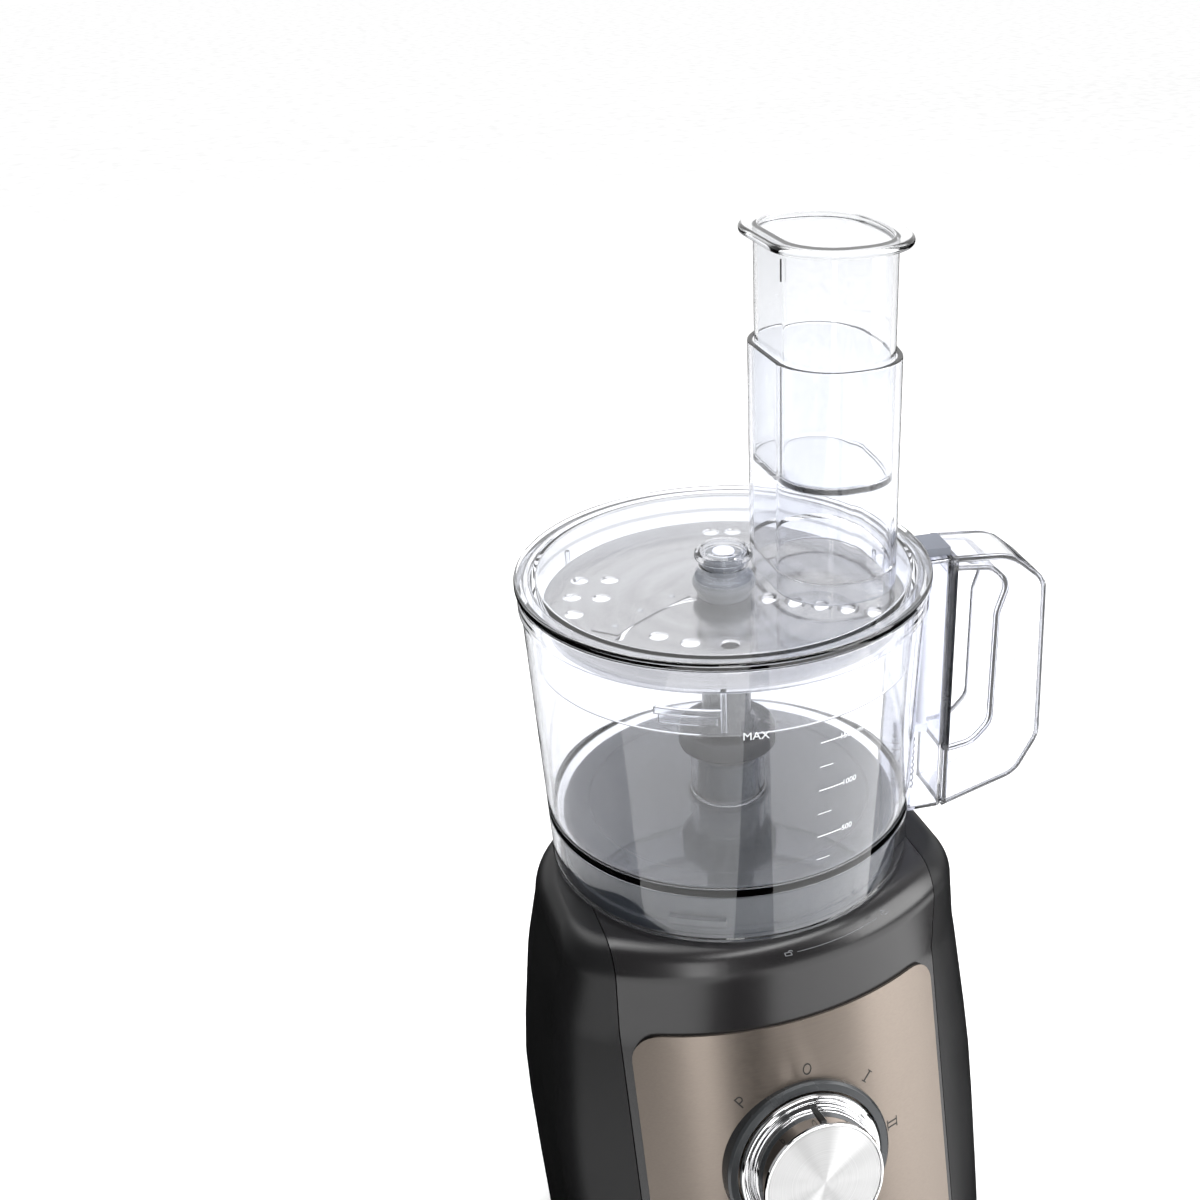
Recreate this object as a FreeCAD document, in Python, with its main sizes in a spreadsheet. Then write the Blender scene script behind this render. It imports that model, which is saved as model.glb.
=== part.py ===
"""Food processor with a clear bowl, a lid with a feed tube, and a slicing disc.

Frame: millimetres, +Z up.  The origin is on the drive axis at the level of the
surface that the rubber feet stand on.  The control panel faces -Y and the bowl
handle points along +X.
"""
import FreeCAD, Part
import math
import os

import Sketcher

V = FreeCAD.Vector
UP = V(0, 0, 1)

# Driving sizes, in millimetres and degrees.  Each is written once.
SIZES = {
    # base housing
    "deck_height": 249.0,
    "base_half_width": 116.0,
    "base_back": 75.0,
    "back_corner": 70.0,
    "base_front": 115.0,
    "front_lean": 14.5,
    "front_bow": 160.0,
    "front_corner": 30.0,
    "brow_height": 202.0,
    "brow_round": 17.0,
    "housing_wall": 3.0,
    "shoulder_pull": 11.0,
    "seam_gap": 0.25,
    "core_half_width": 84.0,
    "deck_opening": 58.0,
    "underside_height": 8.0,
    "plate_thickness": 2.5,
    "gland_radius": 8.0,
    "gland_height": 34.0,
    "gland_bore": 3.8,
    "cord_plate_half": 16.0,
    "foot_radius": 11.0,
    "centre_foot_radius": 8.0,
    "foot_pocket_radius": 4.5,
    "foot_pocket_depth": 2.5,
    "vent_pitch": 12.0,
    "vent_width": 5.0,
    "vent_length": 80.0,
    "foot_inset": 36.0,
    # steel front panel and control knob
    "panel_half_width": 80.5,
    "panel_top": 202.0,
    "panel_bottom": 46.0,
    "panel_corner": 14.0,
    "panel_thickness": 1.5,
    "knob_height": 129.0,
    "knob_offset": 3.5,
    "bezel_radius": 43.0,
    "bezel_width": 5.0,
    "bezel_rise": 5.0,
    "knob_radius": 37.4,
    "knob_face_radius": 30.9,
    "knob_lift": 3.2,
    "knob_depth": 20.5,
    "knob_shaft_radius": 3.5,
    "knob_bush_wall": 2.5,
    "pointer_angle": 5.0,
    "pointer_half_width": 1.6,
    "pointer_height": 1.4,
    "running_gap": 0.05,
    # motor
    "shaft_radius": 6.0,
    "shaft_bottom": 92.0,
    "shaft_top": 400.0,
    "rotor_radius": 30.0,
    "air_gap": 0.5,
    "stator_radius": 58.0,
    "stator_bottom": 136.0,
    "stator_length": 54.0,
    "winding_height": 13.0,
    "end_cap_thickness": 7.0,
    "fan_radius": 44.0,
    "fan_height": 12.0,
    "motor_bolt_circle": 53.0,
    "motor_bolt_radius": 2.5,
    "mount_circle": 60.0,
    "mount_radius": 7.0,
    "bearing_radius": 14.0,
    # turret that the bowl stands on
    "turret_radius": 86.5,
    "turret_height": 27.0,
    "turret_wall": 3.0,
    "nose_radius": 15.5,
    "nose_height": 24.0,
    "nose_bore": 9.0,
    # bowl
    "bowl_gap": 1.5,
    "bowl_bottom_radius": 91.6,
    "bowl_top_radius": 98.0,
    "bowl_rim_radius": 99.0,
    "bowl_height": 150.0,
    "bowl_wall": 2.6,
    "rim_band": 11.0,
    "floor_gap": 0.4,
    "floor_thickness": 3.0,
    "chimney_bore": 16.4,
    "chimney_radius": 19.0,
    "chimney_height": 37.0,
    "bowl_lug": 1.9,
    "handle_angle": -5.0,
    "handle_half_width": 16.0,
    "handle_reach": 167.0,
    "handle_grip": 30.0,
    "handle_wall": 2.6,
    "pillar_reach": 113.0,
    "rod_offset": 105.8,
    "pin_offset": 99.0,
    "rod_radius": 2.5,
    "rod_gap": 1.2,
    "spring_clearance": 1.8,
    "collar_rise": 40.0,
    # lid, feed tube and pusher
    "lid_gap": 0.5,
    "lid_radius": 100.0,
    "lid_flange": 4.0,
    "lid_plate": 2.5,
    "skirt_radius": 92.0,
    "skirt_wall": 2.0,
    "skirt_depth": 40.0,
    "lid_lug": 1.7,
    "boss_radius": 14.2,
    "boss_bore": 10.2,
    "boss_height": 9.0,
    "tube_inner": 21.0,
    "tube_outer": 83.5,
    "tube_half_span": 42.4,
    "tube_corner": 27.5,
    "tube_wall": 2.6,
    "tube_rise": 101.5,
    "tube_drop": 13.5,
    "pusher_gap": 0.6,
    "pusher_wall": 2.4,
    "pusher_length": 113.0,
    "pusher_lift": 50.0,
    "flange_width": 3.5,
    "flange_thickness": 4.0,
    # slicing and grating disc
    "disc_radius": 87.7,
    "disc_drop": 17.6,
    "disc_thickness": 1.6,
    "disc_rim": 3.0,
    "disc_hole": 4.5,
    "stem_radius": 12.4,
    "coupling_radius": 9.0,
    "bell_radius": 24.7,
    "bell_height": 11.0,
    "bell_gap": 2.0,
    "hub_radius": 15.6,
    "hub_neck": 9.4,
    "button_radius": 5.4,
}

doc = FreeCAD.newDocument("FoodProcessor")
sheet = doc.addObject("Spreadsheet::Sheet", "Sizes")
for row, (alias, number) in enumerate(SIZES.items(), start=1):
    sheet.set("A%d" % row, alias)
    sheet.set("B%d" % row, str(number))
    sheet.setAlias("B%d" % row, alias)
doc.recompute()

NODES = []


def cells(text):
    """Turn a short formula of cell names into an expression on the sheet."""
    out = text
    for alias in sorted(SIZES, key=len, reverse=True):
        out = out.replace(alias, "<%d>" % list(SIZES).index(alias))
    for index, alias in enumerate(SIZES):
        out = out.replace("<%d>" % index, "Sizes." + alias)
    return out


def size(text):
    """Value of a short formula of cell names, in the sheet's units."""
    value = sheet.evalExpression(cells(text))
    return float(getattr(value, "Value", value))


def is_zero(text):
    return text == "0"


# ---------------------------------------------------------------- frame heights
DECK = "deck_height"
BOWL_BOTTOM = "(deck_height + bowl_gap)"
TURRET_TOP = "(deck_height + turret_height)"
FLOOR = "(deck_height + turret_height + floor_gap)"
BOWL_TOP = "(deck_height + bowl_gap + bowl_height)"
LID_UNDER = "(deck_height + bowl_gap + bowl_height + lid_gap)"
LID_TOP = "(deck_height + bowl_gap + bowl_height + lid_gap + lid_flange)"
DISC_TOP = "(deck_height + bowl_gap + bowl_height + lid_gap + lid_flange - disc_drop)"
DISC_UNDER = DISC_TOP[:-1] + " - disc_thickness)"
TUBE_TOP = LID_TOP[:-1] + " + tube_rise)"
CHIMNEY_TOP = FLOOR[:-1] + " + chimney_height)"
STATOR_TOP = "(stator_bottom + stator_length)"


# ---------------------------------------------------------------- helpers
def new_body(label):
    """Empty body with its own label, which becomes the node's name."""
    body = doc.addObject("PartDesign::Body", label)
    body.Label = label
    NODES.append(body)
    return body


def origin_plane(body, role):
    return [item for item in body.Origin.OriginFeatures if item.Role == role][0]


def new_sketch(body, role, height="0"):
    """Sketch on one of the body's origin planes, lifted along its normal."""
    sketch = body.newObject("Sketcher::SketchObject", body.Label + "_sketch")
    sketch.AttachmentSupport = [(origin_plane(body, role), "")]
    sketch.MapMode = "FlatFace"
    if not is_zero(height):
        sketch.setExpression("AttachmentOffset.Base.z", cells(height))
    return sketch


def pin_point(sketch, curve, place, point):
    """Tie one point of a sketch curve to the two formulas of its position."""
    for axis, formula in zip("XY", point):
        if is_zero(formula):
            line = -2 if axis == "X" else -1
            sketch.addConstraint(Sketcher.Constraint("PointOnObject", curve, place, line))
            continue
        rule = Sketcher.Constraint("Distance" + axis, -1, 1, curve, place, size(formula))
        index = sketch.addConstraint(rule)
        name = "at_%d_%s" % (curve, axis.lower())
        sketch.renameConstraint(index, name)
        sketch.setExpression("Constraints." + name, cells(formula))


def arc_between(start, end, radius):
    """Arc from start to end: counter-clockwise for +radius, clockwise for -radius."""
    chord = end - start
    half = chord.Length / 2
    reach = math.sqrt(max(radius * radius - half * half, 0.0))
    side = V(-chord.y, chord.x, 0).normalize()
    centre = (start + end) / 2 + side * (reach if radius > 0 else -reach)
    first, last = (start, end) if radius > 0 else (end, start)
    begin = math.atan2(first.y - centre.y, first.x - centre.x)
    finish = math.atan2(last.y - centre.y, last.x - centre.x)
    return Part.ArcOfCircle(Part.Circle(centre, UP, abs(radius)), begin, finish)


def draw_outline(sketch, points):
    """Closed outline.  A point is (x, y) or (x, y, radius) when an arc leaves it."""
    spots = [V(size(p[0]), size(p[1]), 0) for p in points]
    ends = []
    for index, point in enumerate(points):
        start = spots[index]
        end = spots[(index + 1) % len(points)]
        if len(point) == 3:
            radius = size(point[2])
            curve = sketch.addGeometry(arc_between(start, end, radius))
            ends.append((curve, 1, 2) if radius > 0 else (curve, 2, 1))
        else:
            curve = sketch.addGeometry(Part.LineSegment(start, end))
            ends.append((curve, 1, 2))
    for index, (curve, _first, last) in enumerate(ends):
        following = ends[(index + 1) % len(ends)]
        sketch.addConstraint(
            Sketcher.Constraint("Coincident", curve, last, following[0], following[1]))
    for (curve, first, _last), point in zip(ends, points):
        pin_point(sketch, curve, first, point[:2])
        if len(point) == 3:
            index = sketch.addConstraint(
                Sketcher.Constraint("Radius", curve, abs(size(point[2]))))
            name = "radius_%d" % curve
            sketch.renameConstraint(index, name)
            sketch.setExpression("Constraints." + name, cells("abs(%s)" % point[2]))


def draw_circle(sketch, radius, centre=("0", "0")):
    spot = V(size(centre[0]), size(centre[1]), 0)
    curve = sketch.addGeometry(Part.Circle(spot, UP, size(radius)))
    pin_point(sketch, curve, 3, centre)
    index = sketch.addConstraint(Sketcher.Constraint("Radius", curve, size(radius)))
    name = "radius_%d" % curve
    sketch.renameConstraint(index, name)
    sketch.setExpression("Constraints." + name, cells(radius))


def revolve(label, points):
    """Body turned about +Z from a closed profile of (radius, height) points."""
    body = new_body(label)
    sketch = new_sketch(body, "XZ_Plane")
    draw_outline(sketch, points)
    turn = body.newObject("PartDesign::Revolution", label + "_turn")
    turn.Profile = sketch
    turn.ReferenceAxis = (sketch, ["V_Axis"])
    turn.Angle = 360
    doc.recompute()
    return body


def pad(body, sketch, length):
    feature = body.newObject("PartDesign::Pad", body.Label + "_pad")
    feature.Profile = sketch
    feature.setExpression("Length", cells(length))
    doc.recompute()
    return feature


def disc_pad(label, radius, bottom, length, bore=None):
    """Body padded up from a circle, with a round hole when a bore is given."""
    body = new_body(label)
    sketch = new_sketch(body, "XY_Plane", bottom)
    draw_circle(sketch, radius)
    if bore is not None:
        draw_circle(sketch, bore)
    pad(body, sketch, length)
    return body


def cut_through(body, sketch):
    """Pocket that runs through the whole body both ways from its sketch."""
    before = body.Shape.Volume
    feature = body.newObject("PartDesign::Pocket", body.Label + "_pocket")
    feature.Profile = sketch
    feature.Type = "ThroughAll"
    feature.Midplane = True
    doc.recompute()
    if body.Shape.Volume >= before - 1e-6:
        raise RuntimeError(body.Label + ": a pocket removed nothing")
    return feature


def cut_up(body, sketch, depth):
    """Pocket that runs up from its sketch by the given depth."""
    before = body.Shape.Volume
    feature = body.newObject("PartDesign::Pocket", body.Label + "_pocket")
    feature.Profile = sketch
    feature.Reversed = True
    feature.setExpression("Length", cells(depth))
    doc.recompute()
    if body.Shape.Volume >= before - 1e-6:
        raise RuntimeError(body.Label + ": a pocket removed nothing")
    return feature


def polar(body, feature, count):
    """Repeat one feature evenly about the body's Z axis."""
    pattern = body.newObject("PartDesign::PolarPattern", body.Label + "_polar")
    pattern.Originals = [feature]
    pattern.Axis = (origin_plane(body, "Z_Axis"), [""])
    pattern.Angle = 360
    pattern.Occurrences = count
    body.Tip = pattern
    doc.recompute()
    return pattern


def feature(label, shape, placement=None):
    """Sub-part whose shape Part's own functions make from the sheet's sizes."""
    item = doc.addObject("Part::Feature", label)
    item.Label = label
    item.Shape = shape
    if placement is not None:
        item.Placement = placement
    NODES.append(item)
    return item


def cylinder(radius, bottom, top, x=0.0, y=0.0):
    return Part.makeCylinder(radius, top - bottom, V(x, y, bottom))


def block(x0, x1, y0, y1, z0, z1):
    return Part.makeBox(x1 - x0, y1 - y0, z1 - z0, V(x0, y0, z0))


def circle_spots(count, radius, start=0.0):
    """Evenly spaced (x, y) places on a circle about the drive axis."""
    turns = [math.radians(start + 360.0 * k / count) for k in range(count)]
    return [(radius * math.cos(a), radius * math.sin(a)) for a in turns]


# ---------------------------------------------------------------- base housing
def front_line(height):
    """How far the middle of the front stands out at a height."""
    lean = math.tan(math.radians(size("front_lean")))
    below_brow = min(height, size("brow_height"))
    return size("base_front") - (below_brow - size("knob_height")) * lean


def plan_wire(height, side_pull, front_pull, inset):
    """Plan outline at a height: bowed front, straight sides, rounded corners."""
    corner = size("front_corner")
    half = size("base_half_width") - corner - side_pull
    back = size("base_back") - corner - side_pull
    round_back = size("back_corner") - corner
    front = front_line(height) - corner - front_pull
    bow = size("front_bow") - corner
    side_front = front - (bow - math.sqrt(bow * bow - half * half))
    slant = round_back * (1 - math.sqrt(0.5))
    turn_x = half - round_back
    turn_y = back - round_back
    edges = [
        Part.Arc(V(-half, -side_front, height), V(0, -front, height),
                 V(half, -side_front, height)).toShape(),
        Part.makeLine(V(half, -side_front, height), V(half, turn_y, height)),
        Part.Arc(V(half, turn_y, height), V(half - slant, back - slant, height),
                 V(turn_x, back, height)).toShape(),
        Part.makeLine(V(turn_x, back, height), V(-turn_x, back, height)),
        Part.Arc(V(-turn_x, back, height), V(slant - half, back - slant, height),
                 V(-half, turn_y, height)).toShape(),
        Part.makeLine(V(-half, turn_y, height), V(-half, -side_front, height)),
    ]
    return Part.Wire(edges).makeOffset2D(corner - inset, 0)


def side_levels():
    """(height, side pull, front pull) of the plan from the underside to the shoulder."""
    bottom = size("underside_height")
    waist = size("knob_height")
    brow = size("brow_height")
    return [
        (bottom, 6.5, 5.0),
        (bottom + 5.0, 4.5, 1.0),
        (bottom + 24.0, 3.5, 0.0),
        (bottom + 48.0, 2.2, 0.0),
        (waist - 32.0, 0.4, 0.0),
        (waist - 6.0, 0.0, 0.0),
        (waist + 18.0, 1.4, 0.0),
        (brow - 8.0, 5.4, 0.0),
        (brow, 6.4, 0.0),
    ]


def housing_envelope(inset):
    """Outer form of the base, moved inward everywhere by the inset."""
    deck = size(DECK)
    brow = size("brow_round")
    start = deck - brow
    shoulder = size("shoulder_pull")
    levels = side_levels()
    for degrees in (0, 25, 45, 65, 90):
        a = math.radians(degrees)
        fall = 1 - math.cos(a)
        levels.append((start + brow * math.sin(a), shoulder + 0.6 * brow * fall, brow * fall))
    wires = []
    for height, side_pull, front_pull in levels:
        lowered = inset * max(0.0, (height - start) / brow)
        wire = plan_wire(height, side_pull, front_pull, inset)
        wire.translate(V(0, 0, -lowered))
        wires.append(wire)
    return Part.makeLoft(wires, True, True)


KNOB_TILT = FreeCAD.Rotation(V(1, 0, 0), 90.0 - SIZES["front_lean"])
KNOB_CENTRE = V(-size("knob_offset"), -size("base_front"), size("knob_height"))
KNOB_SEAT = FreeCAD.Placement(KNOB_CENTRE, KNOB_TILT)
OUTER = housing_envelope(0.0)
SHELL = OUTER.cut(housing_envelope(size("housing_wall")))
SIDE = 400.0


def knob_hole(radius):
    """Round bar along the knob's axis, for the holes that its bush passes."""
    bar = Part.makeCylinder(radius, 60.0, V(0, 0, -30.0))
    bar.Placement = KNOB_SEAT
    return bar


def make_housing():
    """Core with its louvres and openings, the plate for the cord, and the side panels."""
    half = size("core_half_width")
    wall = size("housing_wall")
    gap = size("seam_gap")
    back = size("base_back")
    core = SHELL.common(block(-half, half, -SIDE, SIDE, 0, SIDE))
    core = core.cut(cylinder(size("deck_opening"), size(DECK) - 20, size(DECK) + 1))
    core = core.cut(knob_hole(size("knob_shaft_radius") + size("knob_bush_wall")))
    for level in range(7):
        z = 110.0 + 10.0 * level
        core = core.cut(block(-34, 34, back - 3 * wall - 6, back + 1, z, z + 4.0))
    reach = size("cord_plate_half")
    head = size("gland_height") + reach
    plate = core.common(block(-reach, reach, back - 30, back + 1, 0, head))
    plate = plate.cut(gland_bar(size("gland_radius"), back - 30, 60))
    core = core.cut(block(-reach - gap, reach + gap, back - 30, back + 1, 0, head + gap))
    plunger_hole = plunger_bar(size("rod_radius") + 1.0)
    feature("housing_core", core.cut(plunger_hole))
    feature("cord_plate", plate)
    near = half + gap
    for name, left, right in (("side_panel_left", -SIDE, -near), ("side_panel_right", near, SIDE)):
        panel = SHELL.common(block(left, right, -SIDE, SIDE, 0, SIDE))
        feature(name, panel.cut(plunger_hole))


def gland_bar(radius, start, length):
    """Round bar along the cord gland's axis at the back."""
    return Part.makeCylinder(radius, length, V(0, start, size("gland_height")), V(0, 1, 0))


def plunger_spot():
    """Plan position of the interlock rod and of the plunger below it."""
    turn = math.radians(size("handle_angle"))
    reach = size("pin_offset")
    return reach * math.cos(turn), reach * math.sin(turn)


def plunger_bar(radius):
    """Round bar through the deck where the plunger passes."""
    x, y = plunger_spot()
    return cylinder(radius, size(DECK) - 30, size(DECK) + 1, x, y)


def make_front_panel():
    """Brushed sheet wrapped on the bowed front, with rounded corners."""
    half = size("panel_half_width")
    low = size("panel_bottom")
    high = size("panel_top")
    corner = size("panel_corner")
    window = Part.Face(Part.makePolygon([V(-half, 0, low), V(half, 0, low), V(half, 0, high),
                                         V(-half, 0, high), V(-half, 0, low)]))
    prism = window.extrude(V(0, -SIDE, 0))
    upright = [e for e in prism.Edges if abs(e.BoundBox.YLength - SIDE) < 1e-3]
    prism = prism.makeFillet(corner, upright)
    raised = housing_envelope(-size("panel_thickness"))
    sheet_metal = raised.cut(OUTER).common(prism)
    bush = size("knob_shaft_radius") + size("knob_bush_wall")
    feature("front_panel", sheet_metal.cut(knob_hole(bush)))


def make_base_plate():
    bottom = size("underside_height")
    thickness = size("plate_thickness")
    _height, side_pull, front_pull = side_levels()[0]
    floor = Part.Face(plan_wire(bottom, side_pull, front_pull, 0.0))
    plate = floor.extrude(V(0, 0, -thickness))
    half_width = size("vent_width") / 2
    half_length = size("vent_length") / 2
    for step in (-4, -3, -2, -1, 1, 2, 3, 4):
        x = step * size("vent_pitch")
        plate = plate.cut(block(x - half_width, x + half_width, -half_length, half_length,
                                bottom - thickness - 1, bottom + 1))
    for x, y in foot_spots():
        plate = plate.cut(cylinder(2.0, 0, bottom + 1, x, y))
    feature("base_plate", plate)


def foot_spots():
    inset = size("foot_inset")
    side = size("base_half_width") - inset
    back = size("base_back") - inset
    front = front_line(size("underside_height")) - 1.5 * inset
    return [(side - 14, back), (14 - side, back), (side, -front), (-side, -front)]


def make_feet():
    """Four screwed feet at the corners and a plain pad on the drive axis, under the motor."""
    seat = size("underside_height") - size("plate_thickness")
    radius = size("foot_radius")
    centre_radius = size("centre_foot_radius")
    pocket = size("foot_pocket_depth")
    feet = [Part.makeCone(centre_radius - 1, centre_radius, seat)]
    screws = []
    for x, y in foot_spots():
        foot = Part.makeCone(radius - 1.5, radius, seat, V(x, y, 0))
        foot = foot.cut(cylinder(size("foot_pocket_radius"), -1, pocket, x, y))
        foot = foot.cut(cylinder(2.0, 0, seat + 1, x, y))
        feet.append(foot)
        head = cylinder(size("foot_pocket_radius") - 0.5, 1.0, pocket, x, y)
        screws.append(head.fuse(cylinder(1.9, pocket - 0.1, seat + 9.0, x, y)))
    feature("rubber_feet", Part.Compound(feet))
    feature("foot_screws", Part.Compound(screws))


def make_turret():
    """Drum on the deck with the bowl's bayonet ledges, and the nose around the shaft."""
    wall_in = "(turret_radius - turret_wall)"
    plate_under = TURRET_TOP[:-1] + " - turret_wall)"
    body = revolve("bowl_turret", [
        (wall_in, DECK), ("turret_radius", DECK),
        ("turret_radius", TURRET_TOP[:-1] + " - 3)"), ("turret_radius - 3", TURRET_TOP),
        ("nose_radius + running_gap", TURRET_TOP), ("nose_radius + running_gap", plate_under),
        (wall_in, plate_under)])
    ledge = new_sketch(body, "XY_Plane", DECK + " + 9")
    draw_outline(ledge, sector("turret_radius - 1", "turret_radius + bowl_lug", 9.0))
    polar(body, pad(body, ledge, "3.5"), 3)
    nose_top = TURRET_TOP[:-1] + " + nose_height)"
    revolve("turret_nose", [
        ("nose_bore", plate_under), ("nose_radius", plate_under),
        ("nose_radius", nose_top[:-1] + " - 1.5)"), ("nose_radius - 1.5", nose_top),
        ("nose_bore", nose_top)])


def sector(inner, outer, half_angle):
    """Outline of a ring piece centred on the +X direction."""
    cos = math.cos(math.radians(half_angle))
    sin = math.sin(math.radians(half_angle))
    near = "(%s)" % inner
    far = "(%s)" % outer
    return [
        ("%s * %.9f" % (near, cos), "%s * %.9f" % (near, -sin)),
        ("%s * %.9f" % (far, cos), "%s * %.9f" % (far, -sin), far),
        ("%s * %.9f" % (far, cos), "%s * %.9f" % (far, sin)),
        ("%s * %.9f" % (near, cos), "%s * %.9f" % (near, sin), "-" + near),
    ]


def make_knob():
    """Control knob, its bezel, bush, shaft and rotary switch, on the tilted seat."""
    inner = size("bezel_radius") - size("bezel_width")
    rise = size("bezel_rise")
    ring_blank = Part.makeCylinder(size("bezel_radius"), rise + 14.0, V(0, 0, -14.0))
    ring_blank = ring_blank.cut(Part.makeCylinder(inner, 40.0, V(0, 0, -20.0)))
    ring_blank.Placement = KNOB_SEAT
    feature("knob_bezel", ring_blank.cut(housing_envelope(-size("panel_thickness"))))

    lift = "knob_lift"
    top = "(knob_lift + knob_depth)"
    knob = revolve("knob_skirt", [
        ("knob_shaft_radius", lift), ("knob_radius - 1", lift), ("knob_radius", lift + " + 1"),
        ("knob_radius", lift + " + 3"), ("knob_face_radius + 1", lift + " + 8"),
        ("knob_face_radius + 0.6", top + " - 1"), ("knob_face_radius", top),
        ("knob_face_radius - 1.2", top), ("knob_face_radius - 1.2", top + " - 1.5"),
        ("knob_shaft_radius", top + " - 1.5")])
    face = disc_pad("knob_face", "knob_face_radius - 1.2", top + " - 1.5", "1.2")
    side = size("pointer_half_width")
    wall = size("knob_face_radius")
    rib = block(-side, side, wall - 1, wall + 1 + size("pointer_height"),
                size(lift) + 8.5, size(top) - 1.2)
    rib.rotate(V(0, 0, 0), UP, -size("pointer_angle"))
    pointer = feature("knob_pointer", rib.cut(knob.Shape))
    shaft = disc_pad("knob_shaft", "knob_shaft_radius", "-30", "30 + " + top + " - 1.5")
    bush = disc_pad("knob_bush", "knob_shaft_radius + knob_bush_wall", "-12",
                    "12 + knob_lift - 1", "knob_shaft_radius + running_gap")
    switch = new_body("rotary_switch")
    outline = new_sketch(switch, "XY_Plane", "-33")
    draw_outline(outline, [("-17", "-17"), ("17", "-17"), ("17", "17"), ("-17", "17")])
    draw_circle(outline, "knob_shaft_radius + 0.5")
    pad(switch, outline, "21")
    for body in (knob, face, pointer, shaft, bush, switch):
        body.Placement = KNOB_SEAT


# ---------------------------------------------------------------- motor
def make_motor():
    bore = "(rotor_radius + air_gap)"
    core = disc_pad("stator_core", "stator_radius", "stator_bottom", "stator_length", bore)
    holes = new_sketch(core, "XY_Plane", "stator_bottom")
    draw_circle(holes, "motor_bolt_radius", ("motor_bolt_circle", "0"))
    polar(core, cut_through(core, holes), 4)

    low = size("stator_bottom")
    high = size(STATOR_TOP)
    tall = size("winding_height")
    inner = size("rotor_radius") + 3.5
    outer = size("motor_bolt_circle") - size("motor_bolt_radius") - 3.0
    coils = []
    for start in (low - tall, high):
        coil = cylinder(outer, start, start + tall).cut(cylinder(inner, start - 1, start + tall + 1))
        rims = [e for e in coil.Edges if abs(e.BoundBox.ZLength) < 1e-6]
        coils.append(coil.makeFillet(3.5, rims))
    feature("stator_windings", Part.Compound(coils))

    thick = size("end_cap_thickness")
    hub = size("bearing_radius")
    for name, face in (("motor_cap_lower", low - tall - thick - 1), ("motor_cap_upper", high + tall + 1)):
        cap = cylinder(hub + 5, face, face + thick)
        for x, y in circle_spots(4, size("motor_bolt_circle")):
            arm = block(0, size("motor_bolt_circle") + 5, -6, 6, face, face + thick)
            arm.rotate(V(0, 0, 0), UP, math.degrees(math.atan2(y, x)))
            cap = cap.fuse(arm)
        if name == "motor_cap_upper":
            for x, y in circle_spots(4, size("mount_circle"), 45.0):
                ear = block(0, size("mount_circle") + 8, -8, 8, face, face + thick)
                ear.rotate(V(0, 0, 0), UP, math.degrees(math.atan2(y, x)))
                cap = cap.fuse(ear)
        cap = cap.cut(cylinder(hub, face - 1, face + thick + 1))
        for x, y in circle_spots(4, size("motor_bolt_circle")):
            cap = cap.cut(cylinder(size("motor_bolt_radius"), face - 1, face + thick + 1, x, y))
        feature(name, cap.removeSplitter())
    bolt_low = low - tall - thick - 4
    bolt_high = high + tall + thick + 1
    bolts = []
    for x, y in circle_spots(4, size("motor_bolt_circle")):
        shank = cylinder(size("motor_bolt_radius"), bolt_low + 3, bolt_high, x, y)
        bolts.append(shank.fuse(cylinder(4.5, bolt_low, bolt_low + 3, x, y)))
    feature("motor_bolts", Part.Compound(bolts))

    mounts = []
    ceiling = size(DECK) - size("housing_wall")
    for x, y in circle_spots(4, size("mount_circle"), 45.0):
        mounts.append(cylinder(size("mount_radius"), high + tall + 1 + thick, ceiling, x, y))
    feature("motor_mounts", Part.Compound(mounts))

    hole = "shaft_radius + running_gap"
    for name, start in (("bearing_lower", "stator_bottom - winding_height - end_cap_thickness - 1"),
                        ("bearing_upper", STATOR_TOP + " + winding_height + 1")):
        disc_pad(name, "bearing_radius", start, "end_cap_thickness", hole)


def make_drive():
    """Everything that turns with the shaft below the disc."""
    disc_pad("motor_shaft", "shaft_radius", "shaft_bottom", "shaft_top - shaft_bottom")
    disc_pad("rotor_core", "rotor_radius", "stator_bottom - 2", "stator_length + 4", "shaft_radius")
    fan_floor = size("shaft_bottom") + 4.0
    radius = size("fan_radius")
    blades = cylinder(size("shaft_radius") + 5, fan_floor, fan_floor + size("fan_height"))
    blades = blades.fuse(cylinder(radius, fan_floor, fan_floor + 2.0))
    for x, y in circle_spots(9, radius):
        blade = block(size("shaft_radius") + 3, radius - 0.5, -1, 1,
                      fan_floor + 1, fan_floor + size("fan_height"))
        blade.rotate(V(0, 0, 0), UP, math.degrees(math.atan2(y, x)))
        blades = blades.fuse(blade)
    blades = blades.cut(cylinder(size("shaft_radius"), 0, SIDE))
    feature("cooling_fan", blades.removeSplitter())

    nose_top = TURRET_TOP[:-1] + " + nose_height)"
    hole = "shaft_radius + running_gap"
    disc_pad("shaft_bush", "nose_bore", TURRET_TOP + " - turret_wall", "16", hole)
    disc_pad("shaft_seal", "nose_bore", nose_top + " - 7", "6", hole)
    coupling = disc_pad("drive_coupling", "coupling_radius", nose_top + " + 1.5",
                        DISC_UNDER + " - " + nose_top + " - 16", "shaft_radius")
    notch = new_sketch(coupling, "XY_Plane", nose_top + " + 1.5")
    draw_circle(notch, "1.6", ("coupling_radius + 0.6", "0"))
    polar(coupling, cut_through(coupling, notch), 6)


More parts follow.
